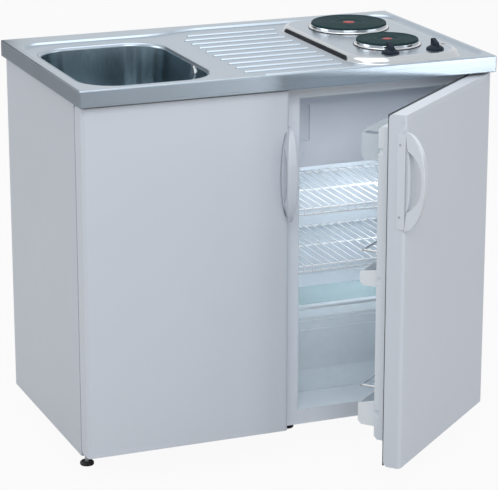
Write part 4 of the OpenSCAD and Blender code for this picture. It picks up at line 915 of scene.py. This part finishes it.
# %% Red dots of the hotplates
DOT_PLACE, DOT_SHARE, LACQUER = 921.5, 0.16, 0.3
dots = bmesh.new()
for x, y, radius in PLATES.values():
    dot = radius * DOT_SHARE
    disc(dots, Matrix.Translation((x, y, DOT_PLACE)), dot, dot - 0.2, LACQUER, 32)
settle(dots, "hotplate_dots", [red_lacquer], "unit")
print("dots laid")

# %% [markdown]
# Under each trim ring the hob lies in the ring's shadow, and that dark line is what sets the bright ring off
# from the bright steel. The shadow is painted as a dark disc, one more flat cone, a little wider than the ring
# that stands on it.

# %% Painted shadows under the trim rings
RING_WIDE, SHADOW_DISC_HIGH = 6.0, 2.0
# painted shadow: a dark disc under each trim ring
ring_shadow_form = bmesh.new()
ring_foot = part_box("ring_rear")[0].z * 1000
for x, y, radius in PLATES.values():
    place = Matrix.Translation((x, y, ring_foot + SHADOW_DISC_HIGH / 2))
    outer = radius + RING_WIDE
    disc(ring_shadow_form, place, outer + 0.9, outer + 0.3, SHADOW_DISC_HIGH, 96)
ring_shadow_discs = settle(ring_shadow_form, "ring_painted_shadows", [painted_shade_rubber], "unit")
ring_shadow_discs.modifiers.new("even_shine", "WEIGHTED_NORMAL")
print("seals laid")

# %% [markdown]
# Two small marks on the hob tell which knob turns which plate. Each is a grey disc of lacquer with a red one on
# top, set a little to the back.

# %% Marks beside the knobs
marks = bmesh.new()
for x, y in ((243, -184), (427, -172)):
    disc(marks, Matrix.Translation((x, y, 909.1)), 6.5, 6.3, LACQUER, 32)
    disc(marks, Matrix.Translation((x, y + 1.5, 909.35)), 2.6, 2.4, LACQUER, 32, 1)
settle(marks, "knob_marks", [mark_grey, red_lacquer], "unit")
print("marks laid")

# %% [markdown]
# Floor and cards of a studio are flat sheets of paper. They belong to the stage and not to the unit.

# %% Sheets of the studio
def studio_sheet(name, half, place, finish):
    form = bmesh.new()
    bmesh.ops.create_grid(form, x_segments=1, y_segments=1, size=half, matrix=place)
    mesh = bpy.data.meshes.new(name)
    form.to_mesh(mesh)
    form.free()
    mesh.materials.append(finish.material)
    sheet_of_paper = bpy.data.objects.new(name, mesh)
    bpy.context.collection.objects.link(sheet_of_paper)
    return sheet_of_paper


print("sheets can be cut")

# %% [markdown]
# The floor has to look as white as the world behind it and still take the unit's shadow. So the camera sees
# mostly a plain white glow with a little of the lit grey paper in it. Reflections see a little of that glow,
# and for the light it gives back the paper is grey.

# %% Floor
paper = Finish("paper", (0.4, 0.4, 0.4), 0.9)
camera_share = paper.start.node("ShaderNodeLightPath", out="Is Camera Ray") * 0.94
shine_share = paper.start.node("ShaderNodeLightPath", out="Is Glossy Ray") * 0.12
lit_paper = Wire(paper.tree, paper.shader.outputs[0])
glow = paper.start.node("ShaderNodeEmission", None, {"Color": (1, 1, 1, 1), "Strength": 1.0})
blend = paper.start.node(
    "ShaderNodeMixShader", None, {0: camera_share + shine_share, 1: lit_paper, 2: glow}
)
paper.start.plug(paper.tree.nodes["Material Output"].inputs["Surface"], blend)
floor = studio_sheet("floor", 30, Matrix.Identity(4), paper)
print("floor laid")

# %% [markdown]
# Photographers stand a black card beside shiny metal, so that its edges get a dark line to stand out by.
# This one is behind the unit on the left, and only reflections see it.

# %% Black card
card_place = Matrix.Translation(at(-600, 1500, 1380)) @ upright
card = studio_sheet("black_card", 0.45, card_place, Finish("card_black", (0.03, 0.035, 0.04), 0.9))
card.visible_camera = False
card.visible_diffuse = False
card.visible_shadow = False
card.visible_transmission = False
print("card stands")
